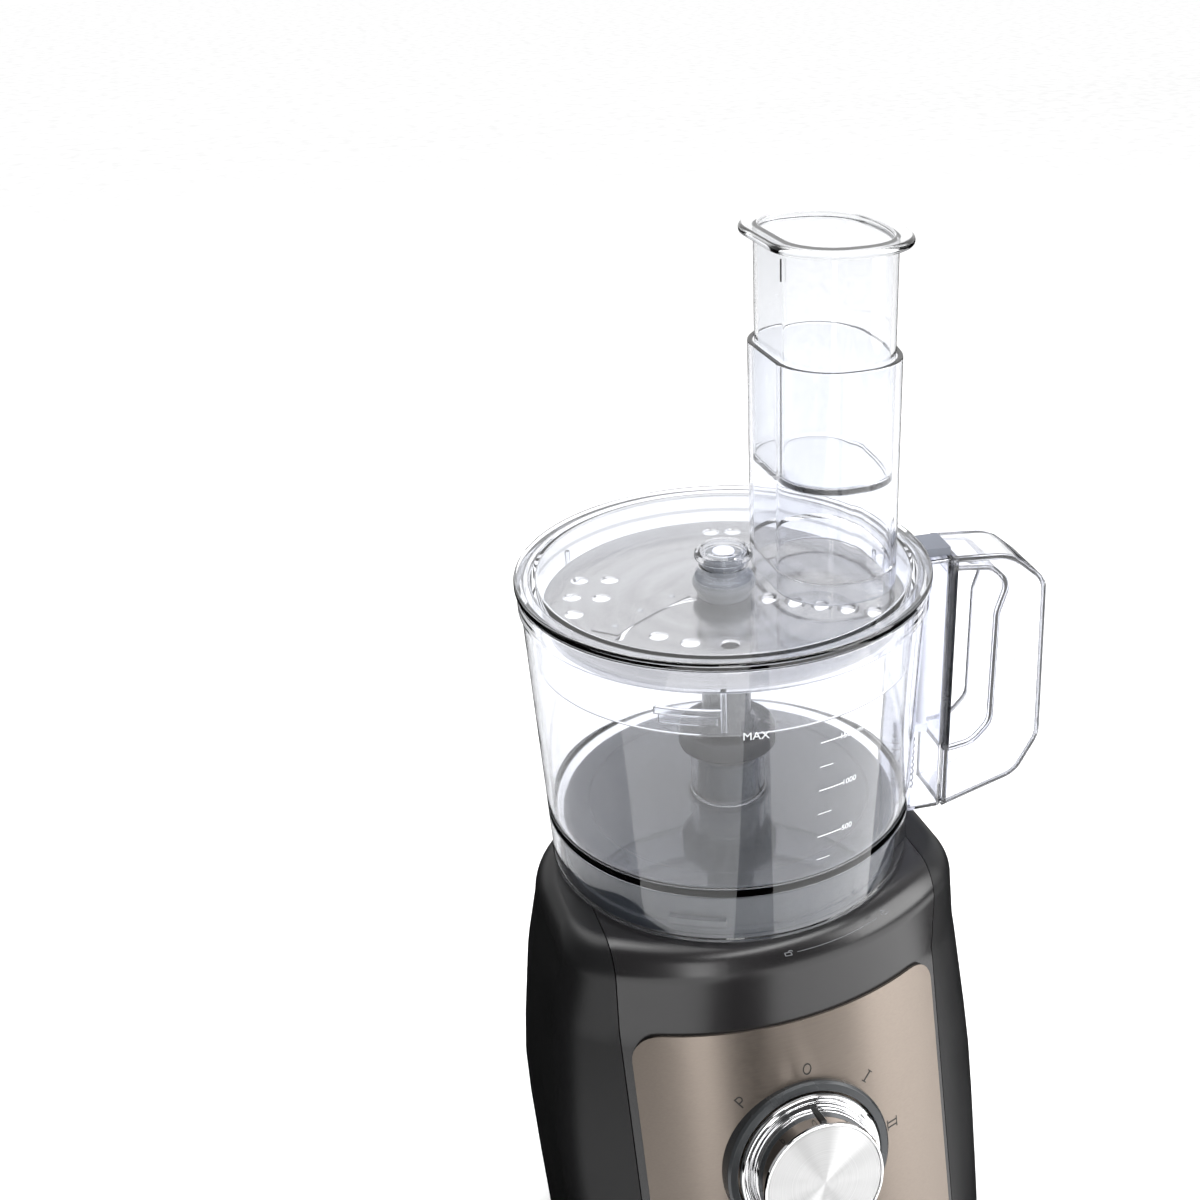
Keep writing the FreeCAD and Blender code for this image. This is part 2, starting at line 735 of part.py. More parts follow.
def make_electrics():
    """Capacitor, control board, cord gland and the interlock switch."""
    reach = size("stator_radius") + 20.0
    feature("run_capacitor", cylinder(16.0, 20.0, 88.0, -reach, -24.0))
    feature("control_board", block(-26, 26, -20, -18.4, 20, 80))
    back = size("base_back")
    wall = size("housing_wall")
    radius = size("gland_radius")
    gland = gland_bar(radius, back - wall - 8, wall + 8).fuse(gland_bar(radius + 3, back - 6, 6))
    gland = gland.cut(gland_bar(size("gland_bore"), back - 30, 60))
    feature("cord_gland", gland.cut(SHELL.cut(gland_bar(radius, back - 30, 60))))
    x, y = plunger_spot()
    deck = size(DECK)
    case = block(x - 16, x + 3.5, y - 5, y + 5, deck - 50, deck - 32)
    feature("interlock_switch", case.cut(cylinder(size("rod_radius") + 0.3, deck - 42, deck, x, y)))


# ---------------------------------------------------------------- bowl
def inner_radius(height_formula):
    """Formula of the bowl's inner radius at a height."""
    span = "(bowl_top_radius - bowl_bottom_radius)"
    rise = "((%s - %s) / bowl_height)" % (height_formula, BOWL_BOTTOM)
    return "(bowl_bottom_radius - bowl_wall + %s * %s)" % (span, rise)


def make_bowl():
    floor_top = FLOOR[:-1] + " + floor_thickness)"
    band = BOWL_TOP[:-1] + " - rim_band)"
    outer_at_band = inner_radius(band)[:-1] + " + bowl_wall)"
    floor_edge = inner_radius(floor_top) + " - 6"
    body = revolve("bowl", [
        (inner_radius(BOWL_BOTTOM), BOWL_BOTTOM), ("bowl_bottom_radius", BOWL_BOTTOM),
        (outer_at_band, band), ("bowl_rim_radius", band + " + 1.5"),
        ("bowl_rim_radius", BOWL_TOP), (inner_radius(BOWL_TOP), BOWL_TOP),
        (inner_radius(floor_top + " + 6"), floor_top + " + 6"),
        (floor_edge, floor_top), (floor_edge, FLOOR), (inner_radius(FLOOR), FLOOR)])
    lug = new_sketch(body, "XY_Plane", BOWL_BOTTOM + " + 2")
    draw_outline(lug, sector("turret_radius + 0.5", "bowl_bottom_radius - 1", 8.0))
    polar(body, pad(body, lug, "4.5"), 3)
    ledge = new_sketch(body, "XY_Plane", LID_TOP + " - 29")
    draw_outline(ledge, sector("skirt_radius + 0.5", "bowl_top_radius - 2.4", 9.0))
    polar(body, pad(body, ledge, "3.5"), 3)
    disc_pad("bowl_floor", floor_edge + " - running_gap", FLOOR, "floor_thickness",
             "chimney_radius + running_gap")
    revolve("bowl_chimney", [
        ("chimney_bore", FLOOR), ("chimney_radius", FLOOR), ("chimney_radius", CHIMNEY_TOP),
        ("chimney_bore", CHIMNEY_TOP)])


def handle_outline(inset):
    """Side view of the handle as (reach, height) points with rounded corners."""
    top = size(BOWL_TOP) - 1.5
    base = size(BOWL_BOTTOM) + 3.0
    reach = size("handle_reach")
    root = size("pillar_reach")
    points = [V(root, 0, top), V(reach - 22, 0, top - 2), V(reach - 3, 0, top - 18),
              V(reach, 0, base + 35), V(reach - 12, 0, base + 13), V(root, 0, base)]
    inner = reach - size("handle_grip")
    hole = [V(root, 0, top - 7), V(inner - 4, 0, top - 9), V(inner + 5, 0, top - 18),
            V(inner, 0, top - 34), V(inner, 0, base + 48), V(inner - 9, 0, base + 38),
            V(root, 0, base + 36)]
    outer_face = rounded_face(points, 12.0)
    hole_face = rounded_face(hole, 6.0)
    half = size("handle_half_width") - inset
    if inset > 0:
        outer_face = shrink(outer_face, inset, root)
        hole_face = grow(hole_face, inset)
    outer = outer_face.extrude(V(0, 2 * half, 0))
    hollow = hole_face.extrude(V(0, 2 * half, 0))
    solid = outer.cut(hollow)
    solid.translate(V(0, -half, 0))
    return solid


def rounded_face(points, radius):
    """Flat face in the XZ plane with every corner away from the root rounded."""
    face = Part.Face(Part.makePolygon(points + [points[0]]))
    prism = face.extrude(V(0, 10, 0))
    root = points[0].x
    upright = [e for e in prism.Edges
               if abs(e.BoundBox.YLength - 10) < 1e-4 and e.BoundBox.XMin > root + 0.5]
    prism = prism.makeFillet(radius, upright)
    flat = [f for f in prism.Faces if f.BoundBox.YLength < 1e-6 and abs(f.BoundBox.YMin) < 1e-6]
    return flat[0]


def shrink(face, inset, root):
    """Offset a face inward, but keep it open at the root side."""
    wire = face.OuterWire.makeOffset2D(-inset, 0)
    inner = Part.Face(wire)
    box = inner.BoundBox
    bridge = Part.Face(Part.makePolygon([
        V(root, 0, box.ZMin), V(root + inset + 0.01, 0, box.ZMin),
        V(root + inset + 0.01, 0, box.ZMax), V(root, 0, box.ZMax), V(root, 0, box.ZMin)]))
    return inner.fuse(bridge).removeSplitter().Faces[0]


def grow(face, inset):
    return Part.Face(face.OuterWire.makeOffset2D(inset, 0))


def make_handle():
    turn = FreeCAD.Placement(V(0, 0, 0), FreeCAD.Rotation(UP, size("handle_angle")))
    root = size("pillar_reach")
    hollow = handle_outline(size("handle_wall"))
    grip = handle_outline(0.0).cut(hollow)
    feature("bowl_handle", grip, turn)

    half = size("handle_half_width")
    wall = size("handle_wall")
    top = size(BOWL_TOP) - 1.5
    base = size(BOWL_BOTTOM) + 3.0
    bowl_form = bowl_cone(0.0)
    pillar = block(60, root, -half, half, base, top).cut(bowl_form)
    room = block(60, root - wall, -half + wall, half - wall, base + wall, top - wall)
    pillar = pillar.cut(room.cut(bowl_cone(wall)))
    radius = size("rod_radius") + 0.4
    pin = size("pin_offset")
    pillar = pillar.cut(cylinder(radius, base - 1, base + wall + 1, pin, 0))
    spring_room = size("rod_radius") + size("spring_clearance")
    pillar = pillar.cut(cylinder(spring_room, base + wall, base + size("collar_rise") + 12, pin, 0))
    pillar = pillar.cut(cylinder(radius, top - wall - 1, top + 1, size("rod_offset"), 0))
    feature("handle_pillar", pillar, turn)


def bowl_cone(extra):
    """Solid form of the bowl's outside, larger by the extra thickness."""
    bottom = size(BOWL_BOTTOM)
    top = size(BOWL_TOP)
    cone = Part.makeCone(size("bowl_bottom_radius") + extra, size("bowl_top_radius") + extra,
                         size("bowl_height"), V(0, 0, bottom))
    band = cylinder(size("bowl_rim_radius") + extra, top - size("rim_band") - extra, top)
    return cone.fuse(band)


def make_interlock():
    """Push rod in the handle's pillar, its spring, and the plunger under it."""
    reach = size("rod_offset")
    radius = size("rod_radius")
    turn = FreeCAD.Placement(V(0, 0, 0), FreeCAD.Rotation(UP, size("handle_angle")))
    top = size(BOWL_TOP) - 1.5
    base = size(BOWL_BOTTOM) + 3.0
    wall = size("handle_wall")
    pin = size("pin_offset")
    collar = base + size("collar_rise")
    rod = cylinder(radius, collar, top - 0.5, reach, 0)
    rod = rod.fuse(block(pin - radius, reach + radius, -radius, radius, collar, collar + 5))
    rod = rod.fuse(cylinder(radius, size(DECK) + 0.8, collar + 1, pin, 0))
    feature("interlock_rod", rod, turn)
    coil = Part.makeHelix(4.0, collar - base - wall - 3, radius + 0.9)
    section = Part.Wire(Part.makeCircle(0.45, V(radius + 0.9, 0, 0), V(0, 1, 0)))
    spring = Part.Wire(coil).makePipeShell([section], True, True)
    spring.translate(V(pin, 0, base + wall + 1.0))
    feature("rod_spring", Part.Compound([spring]), turn)
    deck = size(DECK)
    plunger = cylinder(radius, deck - 36.0, deck + 0.2, pin, 0)
    feature("switch_plunger", plunger, turn)


# ---------------------------------------------------------------- lid
def make_lid():
    plate_under = LID_TOP + " - lid_plate"
    skirt_in = "skirt_radius - skirt_wall"
    skirt_end = LID_TOP + " - skirt_depth"
    boss_top = LID_TOP + " + boss_height"
    body = revolve("lid", [
        ("boss_radius", plate_under), (skirt_in, plate_under), (skirt_in, skirt_end),
        ("skirt_radius", skirt_end), ("skirt_radius", LID_UNDER), ("lid_radius - 1", LID_UNDER),
        ("lid_radius", LID_UNDER + " + 1"), ("lid_radius", LID_TOP + " - 1.5"),
        ("lid_radius - 1.5", LID_TOP), ("boss_radius", LID_TOP)])
    opening = new_sketch(body, "XY_Plane", LID_TOP)
    draw_outline(opening, tube_outline("0"))
    before = body.Shape.Volume
    hole = body.newObject("PartDesign::Pocket", "lid_opening")
    hole.Profile = opening
    hole.setExpression("Length", cells("lid_plate + 1"))
    doc.recompute()
    if body.Shape.Volume >= before:
        raise RuntimeError("the feed opening was not cut")
    lug = new_sketch(body, "XY_Plane", LID_TOP + " - 34")
    draw_outline(lug, sector("skirt_radius - 0.5", "skirt_radius + lid_lug", 8.0))
    polar(body, pad(body, lug, "4.5"), 3)
    rim = "boss_radius - running_gap"
    revolve("lid_boss", [
        ("boss_bore", plate_under), (rim, plate_under), (rim, LID_TOP),
        ("boss_radius - 2.6", LID_TOP), ("boss_radius - 0.4", LID_TOP + " + 2.5"),
        ("boss_radius", LID_TOP + " + 3.6"), ("boss_radius - 0.6", boss_top + " - 2.4"),
        ("boss_radius - 3.4", boss_top), ("0", boss_top), ("0", boss_top + " - 1.8"),
        ("boss_bore", boss_top + " - 1.8")])


def tube_outline(inset):
    """Plan of the feed tube, moved inward by the inset formula."""
    near = "(tube_inner + %s)" % inset
    far = "(tube_outer - %s)" % inset
    half = "(tube_half_span - %s)" % inset
    corner = "(tube_corner - %s)" % inset
    rise = "(tube_half_span - tube_corner)"
    first_x = "(tube_inner + tube_corner)"
    last_x = "sqrt((tube_outer - tube_corner)^2 - %s^2)" % rise
    tip_x = "%s * %s / (tube_outer - tube_corner)" % (far, last_x)
    tip_y = "%s * %s / (tube_outer - tube_corner)" % (far, rise)
    return [
        (near, "-" + rise, corner),
        (first_x, "-" + half),
        (last_x, "-" + half, corner),
        (tip_x, "-(%s)" % tip_y, far),
        (tip_x, tip_y, corner),
        (last_x, half),
        (first_x, half, corner),
        (near, rise),
    ]


def tube_solid(body, bottom, length, inset, inner=None):
    sketch = new_sketch(body, "XY_Plane", bottom)
    draw_outline(sketch, tube_outline(inset))
    if inner is not None:
        draw_outline(sketch, tube_outline(inner))
    return pad(body, sketch, length)


def make_feed_tube():
    body = new_body("feed_tube")
    tube_solid(body, LID_TOP + " - tube_drop", "tube_drop + tube_rise", "0", "tube_wall")


def make_pusher():
    """Hollow pusher: a closed bottom, thin walls and a flange to hold it by."""
    outside = "(tube_wall + pusher_gap)"
    inside = "(tube_wall + pusher_gap + pusher_wall)"
    flange_under = TUBE_TOP + " + pusher_lift"
    bottom = flange_under + " + flange_thickness - pusher_length"
    body = new_body("pusher")
    tube_solid(body, bottom, "pusher_length", outside)
    tube_solid(body, flange_under, "flange_thickness", "(0 - flange_width)")
    hollow = new_sketch(body, "XY_Plane", bottom + " + pusher_wall")
    draw_outline(hollow, tube_outline(inside))
    cut_up(body, hollow, "pusher_length")


def make_lid_tab():
    turn = FreeCAD.Placement(V(0, 0, 0), FreeCAD.Rotation(UP, size("handle_angle")))
    under = size(BOWL_TOP) - 1.5 + size("rod_gap") - 0.5
    top = size(LID_TOP) - 1.0
    tab = block(94, size("pillar_reach") - 1, -13.0, 5.0, under, top)
    lid_form = cylinder(size("lid_radius"), size(LID_UNDER), size(LID_TOP))
    keep = cylinder(size("bowl_rim_radius") + 0.8, 0, size(LID_UNDER))
    feature("lid_tab", tab.cut(lid_form).cut(keep), turn)


# ---------------------------------------------------------------- disc
def polar_point(radius, degrees):
    """Formulas of a point given by a radius formula and an angle."""
    a = math.radians(degrees)
    return ("(%s) * %.9f" % (radius, math.cos(a)), "(%s) * %.9f" % (radius, math.sin(a)))


OUTER_HOLES = (146.5, 161.0, 175.5, 75.5, 66.5)
INNER_HOLES = (143.0, 162.5)
FRONT_HOLES = (215.0, 233.0, 253.0)
GRATER_ANGLE = -38.0
GRATER_REACH = (22.7, 35.7, 48.7, 61.7, 74.7)


def make_disc():
    body = revolve("slicing_disc", [
        ("shaft_radius", DISC_UNDER), ("disc_radius - disc_thickness", DISC_UNDER),
        ("disc_radius - disc_thickness", DISC_TOP + " - disc_rim"),
        ("disc_radius", DISC_TOP + " - disc_rim"), ("disc_radius", DISC_TOP + " - 1"),
        ("disc_radius - 1", DISC_TOP), ("shaft_radius", DISC_TOP)])
    holes = new_sketch(body, "XY_Plane", DISC_TOP)
    for angle in OUTER_HOLES:
        draw_circle(holes, "disc_hole", polar_point("disc_radius - 14.2", angle))
    for angle in INNER_HOLES:
        draw_circle(holes, "disc_hole", polar_point("disc_radius - 28.5", angle))
    for angle in FRONT_HOLES:
        draw_circle(holes, "disc_hole", polar_point("disc_radius - 35.5", angle))
    for reach in GRATER_REACH:
        draw_circle(holes, "3.6", polar_point("%.1f" % reach, GRATER_ANGLE))
    cut_through(body, holes)
    slot = new_sketch(body, "XY_Plane", DISC_TOP)
    draw_outline(slot, [("-14.8", "-2.4"), ("-15.6", "1.6", "46"), ("-59.5", "-23.6"),
                        ("-63.4", "-26.8"), ("-60.5", "-30.2", "-46")])
    cut_through(body, slot)

    deck = size(DISC_TOP)
    thick = 0.8
    start = V(-16.5, 2.2, deck)
    end = V(-60.2, -23.0, deck)
    edge = Part.Arc(start, V(-38.5, -5.2, deck), end).toShape()
    corner_a = V(-70.5, -13.0, deck)
    corner_b = V(-22.5, 14.0, deck)
    outline = Part.Wire([edge, Part.makeLine(end, corner_a), Part.makeLine(corner_a, corner_b),
                         Part.makeLine(corner_b, start)])
    blade = Part.Face(outline).extrude(V(0, 0, thick))
    if blade.Volume < 0:
        blade.reverse()
    feature("slicing_blade", blade)
    rivets = []
    for x, y in ((-25.0, 5.0), (-43.5, -3.5), (-59.0, -14.5)):
        rivets.append(Part.makeCone(2.0, 1.2, 0.8, V(x, y, deck + thick)))
    feature("blade_rivets", Part.Compound(rivets))
    teeth = []
    for reach in GRATER_REACH:
        a = math.radians(GRATER_ANGLE)
        spot = V(reach * math.cos(a), reach * math.sin(a), deck)
        hood = Part.makeCone(5.2, 4.2, 1.5, spot).cut(Part.makeCone(4.4, 3.4, 1.5, spot))
        keep = block(-8, 8, -8, 0.5, 0, 2)
        keep.rotate(V(0, 0, 0), UP, GRATER_ANGLE)
        keep.translate(spot)
        teeth.append(hood.common(keep))
    feature("grating_teeth", Part.Compound(teeth))

    bell_top = CHIMNEY_TOP + " + bell_gap + 3"
    bell_floor = bell_top + " - bell_height"
    revolve("disc_stem", [
        ("coupling_radius", bell_floor), ("stem_radius", bell_floor),
        ("stem_radius", CHIMNEY_TOP + " + bell_gap"),
        ("bell_radius - 3.2", CHIMNEY_TOP + " + bell_gap"), ("bell_radius - 3.2", bell_floor),
        ("bell_radius", bell_floor), ("bell_radius", bell_top + " - 1.5"),
        ("bell_radius - 1.5", bell_top), ("stem_radius", bell_top),
        ("stem_radius", DISC_UNDER), ("coupling_radius", DISC_UNDER)])
    hub_top = LID_TOP + " + boss_height - 4.6"
    revolve("disc_hub", [
        ("shaft_radius", DISC_TOP), ("hub_radius - 2.7", DISC_TOP),
        ("hub_radius - 1.6", DISC_TOP + " + 2.4"), ("hub_radius", DISC_TOP + " + 6"),
        ("hub_radius - 1", DISC_TOP + " + 9.4"), ("hub_radius - 3.6", DISC_TOP + " + 12.4"),
        ("hub_neck", DISC_TOP + " + 13.8"), ("hub_neck", hub_top + " - 1"),
        ("hub_neck - 1", hub_top), ("0", hub_top), ("0", "shaft_top"),
        ("shaft_radius", "shaft_top")])
    disc_pad("hub_button", "button_radius", hub_top, "1.6")


def make_model():
    make_housing()
    make_front_panel()
    make_base_plate()
    make_feet()
    make_turret()
    make_knob()
    make_motor()
    make_drive()
    make_electrics()
    make_bowl()
    make_handle()
    make_interlock()
    make_lid()
    make_feed_tube()
    make_lid_tab()
    make_pusher()
    make_disc()


def check_and_write():
    """Refuse a failed object or a bad shape, then write one file for each node."""
    doc.recompute()
    for item in doc.Objects:
        if "Invalid" in item.State or "Error" in item.State:
            raise RuntimeError("%s failed to recompute" % item.Label)
    for node in NODES:
        if node.Shape.isNull() or not node.Shape.isValid() or node.Shape.Volume <= 0:
            raise RuntimeError("%s has a bad shape" % node.Label)
    os.makedirs("parts", exist_ok=True)
    for node in NODES:
        node.Shape.exportStep(os.path.join("parts", node.Label + ".step"))
        box = node.Shape.BoundBox
        print("%-18s %9.0f mm3  x %7.1f %7.1f  y %7.1f %7.1f  z %7.1f %7.1f" % (
            node.Label, node.Shape.Volume, box.XMin, box.XMax, box.YMin, box.YMax,
            box.ZMin, box.ZMax))
    print(len(NODES), "nodes")


make_model()
check_and_write()
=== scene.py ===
"""Looks of a food processor: every visible piece, its finish, the studio and the camera."""
import logging
import math
from dataclasses import dataclass, field
from enum import Enum
from typing import Iterable, Sequence

import bmesh
import bpy
from mathutils import Euler, Matrix, Vector


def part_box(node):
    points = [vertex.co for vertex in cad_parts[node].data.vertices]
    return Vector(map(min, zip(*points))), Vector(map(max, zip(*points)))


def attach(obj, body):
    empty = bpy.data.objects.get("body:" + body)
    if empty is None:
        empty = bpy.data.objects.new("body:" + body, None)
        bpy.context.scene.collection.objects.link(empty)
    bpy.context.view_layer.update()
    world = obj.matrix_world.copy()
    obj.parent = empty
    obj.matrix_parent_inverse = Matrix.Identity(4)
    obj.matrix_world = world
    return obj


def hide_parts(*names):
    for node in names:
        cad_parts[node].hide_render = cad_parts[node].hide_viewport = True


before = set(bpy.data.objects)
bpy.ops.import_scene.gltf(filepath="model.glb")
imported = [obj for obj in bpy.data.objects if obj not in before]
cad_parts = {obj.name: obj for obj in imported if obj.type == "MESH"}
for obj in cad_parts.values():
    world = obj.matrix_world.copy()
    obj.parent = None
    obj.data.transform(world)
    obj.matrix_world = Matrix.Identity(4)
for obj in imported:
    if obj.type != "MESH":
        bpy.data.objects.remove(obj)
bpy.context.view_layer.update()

LOG = logging.getLogger("food_processor")
MM = 0.001
Corner = tuple[float, float, float]
Tree, Node, Socket = bpy.types.NodeTree, bpy.types.Node, bpy.types.NodeSocket


def linear(code: str) -> tuple[float, float, float, float]:
    """Turn an sRGB hex colour to linear light.

    Args:
        code: colour such as "#3A3A3C".

    Returns:
        Red, green, blue and an alpha of one, in linear light.
    """
    parts = [int(code[i:i + 2], 16) / 255 for i in (1, 3, 5)]
    lit = [c / 12.92 if c <= 0.04045 else ((c + 0.055) / 1.055) ** 2.4 for c in parts]
    return (*lit, 1.0)


def box_mm(node: str) -> tuple[Vector, Vector]:
    """Give a node's lowest and highest corners in millimetres.

    Args:
        node: the node's name.

    Returns:
        The two corners.
    """
    low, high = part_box(node)
    return low / MM, high / MM


# ------------------------------------------------------------------ finishes
def add_node(tree: Tree, kind: str, values: dict | None = None,
             links: dict | None = None, **settings) -> Node:
    """Add one shader node with its settings, its input values and its links.

    Args:
        tree: the material's node tree.
        kind: the node's type without the ShaderNode prefix.
        values: input name or index to a plain value.
        links: input name or index to the output socket that feeds it.
        **settings: the node's own properties.

    Returns:
        The new node.
    """
    node = tree.nodes.new("ShaderNode" + kind)
    for key, value in settings.items():
        setattr(node, key, value)
    for socket, value in (values or {}).items():
        node.inputs[socket].default_value = value
    for socket, source in (links or {}).items():
        tree.links.new(source, node.inputs[socket])
    return node


class Lay(Enum):
    """Which way the lines of a brushed or turned metal run."""

    ALONG_X = "lines run across the front"
    ROUND_AXIS = "lines run round an axis"


@dataclass(frozen=True)
class Finish:
    """A surface finish.  Subclasses add the pattern of how the surface was made."""

    name: str
    colour: str
    roughness: float
    ior: float = 1.5
    metallic: float = 0.0
    specular: float = 0.5

    def material(self) -> bpy.types.Material:
        """Make the material once and return it from then on.

        Returns:
            The material, with its whole node tree.
        """
        found = bpy.data.materials.get(self.name)
        if found:
            return found
        LOG.info("new finish %s", self.name)
        made = bpy.data.materials.new(self.name)
        made.use_nodes = True
        tree = made.node_tree
        tree.nodes.clear()
        shader = add_node(tree, "BsdfPrincipled", {
            "Base Color": linear(self.colour), "Roughness": self.roughness,
            "IOR": self.ior, "Metallic": self.metallic, "Specular IOR Level": self.specular})
        place = add_node(tree, "TexCoord").outputs["Object"]
        self.pattern(tree, shader, place)
        surface = self.surface(tree, shader)
        add_node(tree, "OutputMaterial", links={"Surface": surface})
        return made

    def surface(self, tree: Tree, shader: Node) -> Socket:
        """Give the socket that the output shows.

        Args:
            tree: the material's node tree.
            shader: the Principled node.

        Returns:
            The surface socket.
        """
        return shader.outputs["BSDF"]

    def pattern(self, tree: Tree, shader: Node, place: Socket) -> None:
        """Add the pattern's nodes.  The plain finish has none.

        Args:
            tree: the material's node tree.
            shader: the Principled node.
            place: the place on the piece, in metres.
        """

    def vary(self, tree: Tree, shader: Node, source: Socket, spread: float) -> None:
        """Let a pattern move the roughness a little either side of its middle value.

        Args:
            tree: the material's node tree.
            shader: the Principled node.
            source: a pattern value from 0 to 1.
            spread: how far the roughness may move each way.
        """
        low = max(self.roughness - spread, 0.01)
        moved = add_node(tree, "MapRange", {"From Min": 0.3, "From Max": 0.7, "To Min": low,
                                            "To Max": self.roughness + spread},
                         {"Value": source})
        tree.links.new(moved.outputs["Result"], shader.inputs["Roughness"])

    def tint(self, tree: Tree, shader: Node, source: Socket, depth: float) -> None:
        """Let a pattern darken the colour by up to a share of it.

        Args:
            tree: the material's node tree.
            shader: the Principled node.
            source: a pattern value from 0 to 1.
            depth: the largest share that is taken off.
        """
        base = linear(self.colour)
        dark = tuple(c * (1 - depth) for c in base[:3]) + (1.0,)
        ramp = add_node(tree, "ValToRGB", links={"Fac": source})
        ramp.color_ramp.elements[0].position = 0.3
        ramp.color_ramp.elements[0].color = dark
        ramp.color_ramp.elements[1].position = 0.7
        ramp.color_ramp.elements[1].color = base
        tree.links.new(ramp.outputs["Color"], shader.inputs["Base Color"])

    def raise_by(self, tree: Tree, shader: Node, source: Socket, height_mm: float) -> None:
        """Use a pattern as a relief of a real height in millimetres.

        Args:
            tree: the material's node tree.
            shader: the Principled node.
            source: a pattern value from 0 to 1.
            height_mm: how high the relief stands.
        """
        bump = add_node(tree, "Bump", {"Strength": 1.0, "Distance": height_mm * MM},
                        {"Height": source})
        tree.links.new(bump.outputs["Normal"], shader.inputs["Normal"])


@dataclass(frozen=True)
class Moulded(Finish):
    """Injection moulding: an even skin with a fine spark-eroded grain from the tool."""

    grain_mm: float = 0.6
    relief_mm: float = 0.006
    mottle: float = 0.05

    def pattern(self, tree: Tree, shader: Node, place: Socket) -> None:
        """Grain as relief, and a slow cloud that shifts the gloss and the tone."""
        grain = add_node(tree, "TexNoise", {"Scale": 1 / (self.grain_mm * MM), "Detail": 2.0},
                         {"Vector": place})
        cloud = add_node(tree, "TexNoise", {"Scale": 1 / (35 * MM), "Detail": 3.0},
                         {"Vector": place})
        self.raise_by(tree, shader, grain.outputs["Fac"], self.relief_mm)
        self.vary(tree, shader, cloud.outputs["Fac"], self.mottle)
        self.tint(tree, shader, cloud.outputs["Fac"], 0.12)


@dataclass(frozen=True)
class Clear(Finish):
    """Clear moulded SAN: bends light, a faint cool tint, and handling haze."""

    haze: float = 0.02
    flow_mm: float = 26.0

    def pattern(self, tree: Tree, shader: Node, place: Socket) -> None:
        """Haze in the gloss and very shallow flow waves left by the mould."""
        shader.inputs["Transmission Weight"].default_value = 1.0
        flow = add_node(tree, "TexNoise", {"Scale": 1 / (self.flow_mm * MM), "Detail": 1.0},
                        {"Vector": place})
        self.raise_by(tree, shader, flow.outputs["Fac"], 0.05)
        smears = add_node(tree, "TexNoise", {"Scale": 1 / (9 * MM), "Detail": 4.0},
                          {"Vector": place})
        self.vary(tree, shader, smears.outputs["Fac"], self.haze)

    def surface(self, tree: Tree, shader: Node) -> Socket:
        """Let the lamps reach what is inside, dimmed by the plastic's tint."""
        lamp = add_node(tree, "LightPath").outputs["Is Shadow Ray"]
        open_way = add_node(tree, "BsdfTransparent", {"Color": linear("#F6F6F8")})
        mixed = add_node(tree, "MixShader",
                         links={0: lamp, 1: shader.outputs["BSDF"], 2: open_way.outputs["BSDF"]})
        return mixed.outputs["Shader"]


@dataclass(frozen=True)
class Brushed(Finish):
    """Metal with parallel or circular scratch lines that stretch its highlights."""

    metallic: float = 1.0
    lay: Lay = Lay.ALONG_X
    line_mm: float = 0.35
    length_mm: float = 22.0
    relief_mm: float = 0.004
    stretch: float = 0.6
    spread: float = 0.07
    centre_mm: tuple[float, float, float] = (0.0, 0.0, 0.0)
    axis: tuple[float, float, float] = (0.0, 0.0, 1.0)

    def pattern(self, tree: Tree, shader: Node, place: Socket) -> None:
        """Scratch lines as relief and gloss, with the highlight stretched across them."""
        centre = tuple(c * MM for c in self.centre_mm)
        arm = add_node(tree, "VectorMath", {1: centre}, {0: place}, operation="SUBTRACT")
        round_way = add_node(tree, "VectorMath", {0: self.axis}, {1: arm.outputs[0]},
                             operation="CROSS_PRODUCT")
        world = add_node(tree, "VectorTransform", links={"Vector": round_way.outputs[0]},
                         vector_type="VECTOR", convert_from="OBJECT", convert_to="WORLD")
        tree.links.new(world.outputs[0], shader.inputs["Tangent"])
        shader.inputs["Anisotropic"].default_value = self.stretch
        shader.inputs["Anisotropic Rotation"].default_value = 0.25
        fine, long = 1 / (self.line_mm * MM), 1 / (self.length_mm * MM)
        if self.lay is Lay.ALONG_X:
            spread = add_node(tree, "Mapping", {"Scale": (long, fine, fine)}, {"Vector": place})
            lines = add_node(tree, "TexNoise", {"Scale": 1.0, "Detail": 3.0},
                             {"Vector": spread.outputs[0]})
        else:
            reach = add_node(tree, "VectorMath", links={0: arm.outputs[0]}, operation="LENGTH")
            lines = add_node(tree, "TexNoise", {"Scale": fine, "Detail": 3.0},
                             {"W": reach.outputs["Value"]}, noise_dimensions="1D")
        self.raise_by(tree, shader, lines.outputs["Fac"], self.relief_mm)
        self.vary(tree, shader, lines.outputs["Fac"], self.spread)
        self.tint(tree, shader, lines.outputs["Fac"], 0.10)


@dataclass(frozen=True)
class Polished(Finish):
    """Plated or ground metal: a mirror with finger smears and hairline wear."""

    metallic: float = 1.0
    smear_mm: float = 14.0
    spread: float = 0.03

    def pattern(self, tree: Tree, shader: Node, place: Socket) -> None:
        """Smears shift the gloss only; the colour stays even."""
        smears = add_node(tree, "TexNoise", {"Scale": 1 / (self.smear_mm * MM), "Detail": 5.0},
                          {"Vector": place})
        self.vary(tree, shader, smears.outputs["Fac"], self.spread)


@dataclass(frozen=True)
class Rubber(Finish):
    """Moulded rubber: dull, with a coarse dusty grain."""

    def pattern(self, tree: Tree, shader: Node, place: Socket) -> None:
        """Pores as relief and pale dust in the colour."""
        pores = add_node(tree, "TexVoronoi", {"Scale": 1 / (0.9 * MM)}, {"Vector": place})
        self.raise_by(tree, shader, pores.outputs["Distance"], 0.03)
        dust = add_node(tree, "TexNoise", {"Scale": 1 / (5 * MM)}, {"Vector": place})
        self.tint(tree, shader, dust.outputs["Fac"], 0.35)


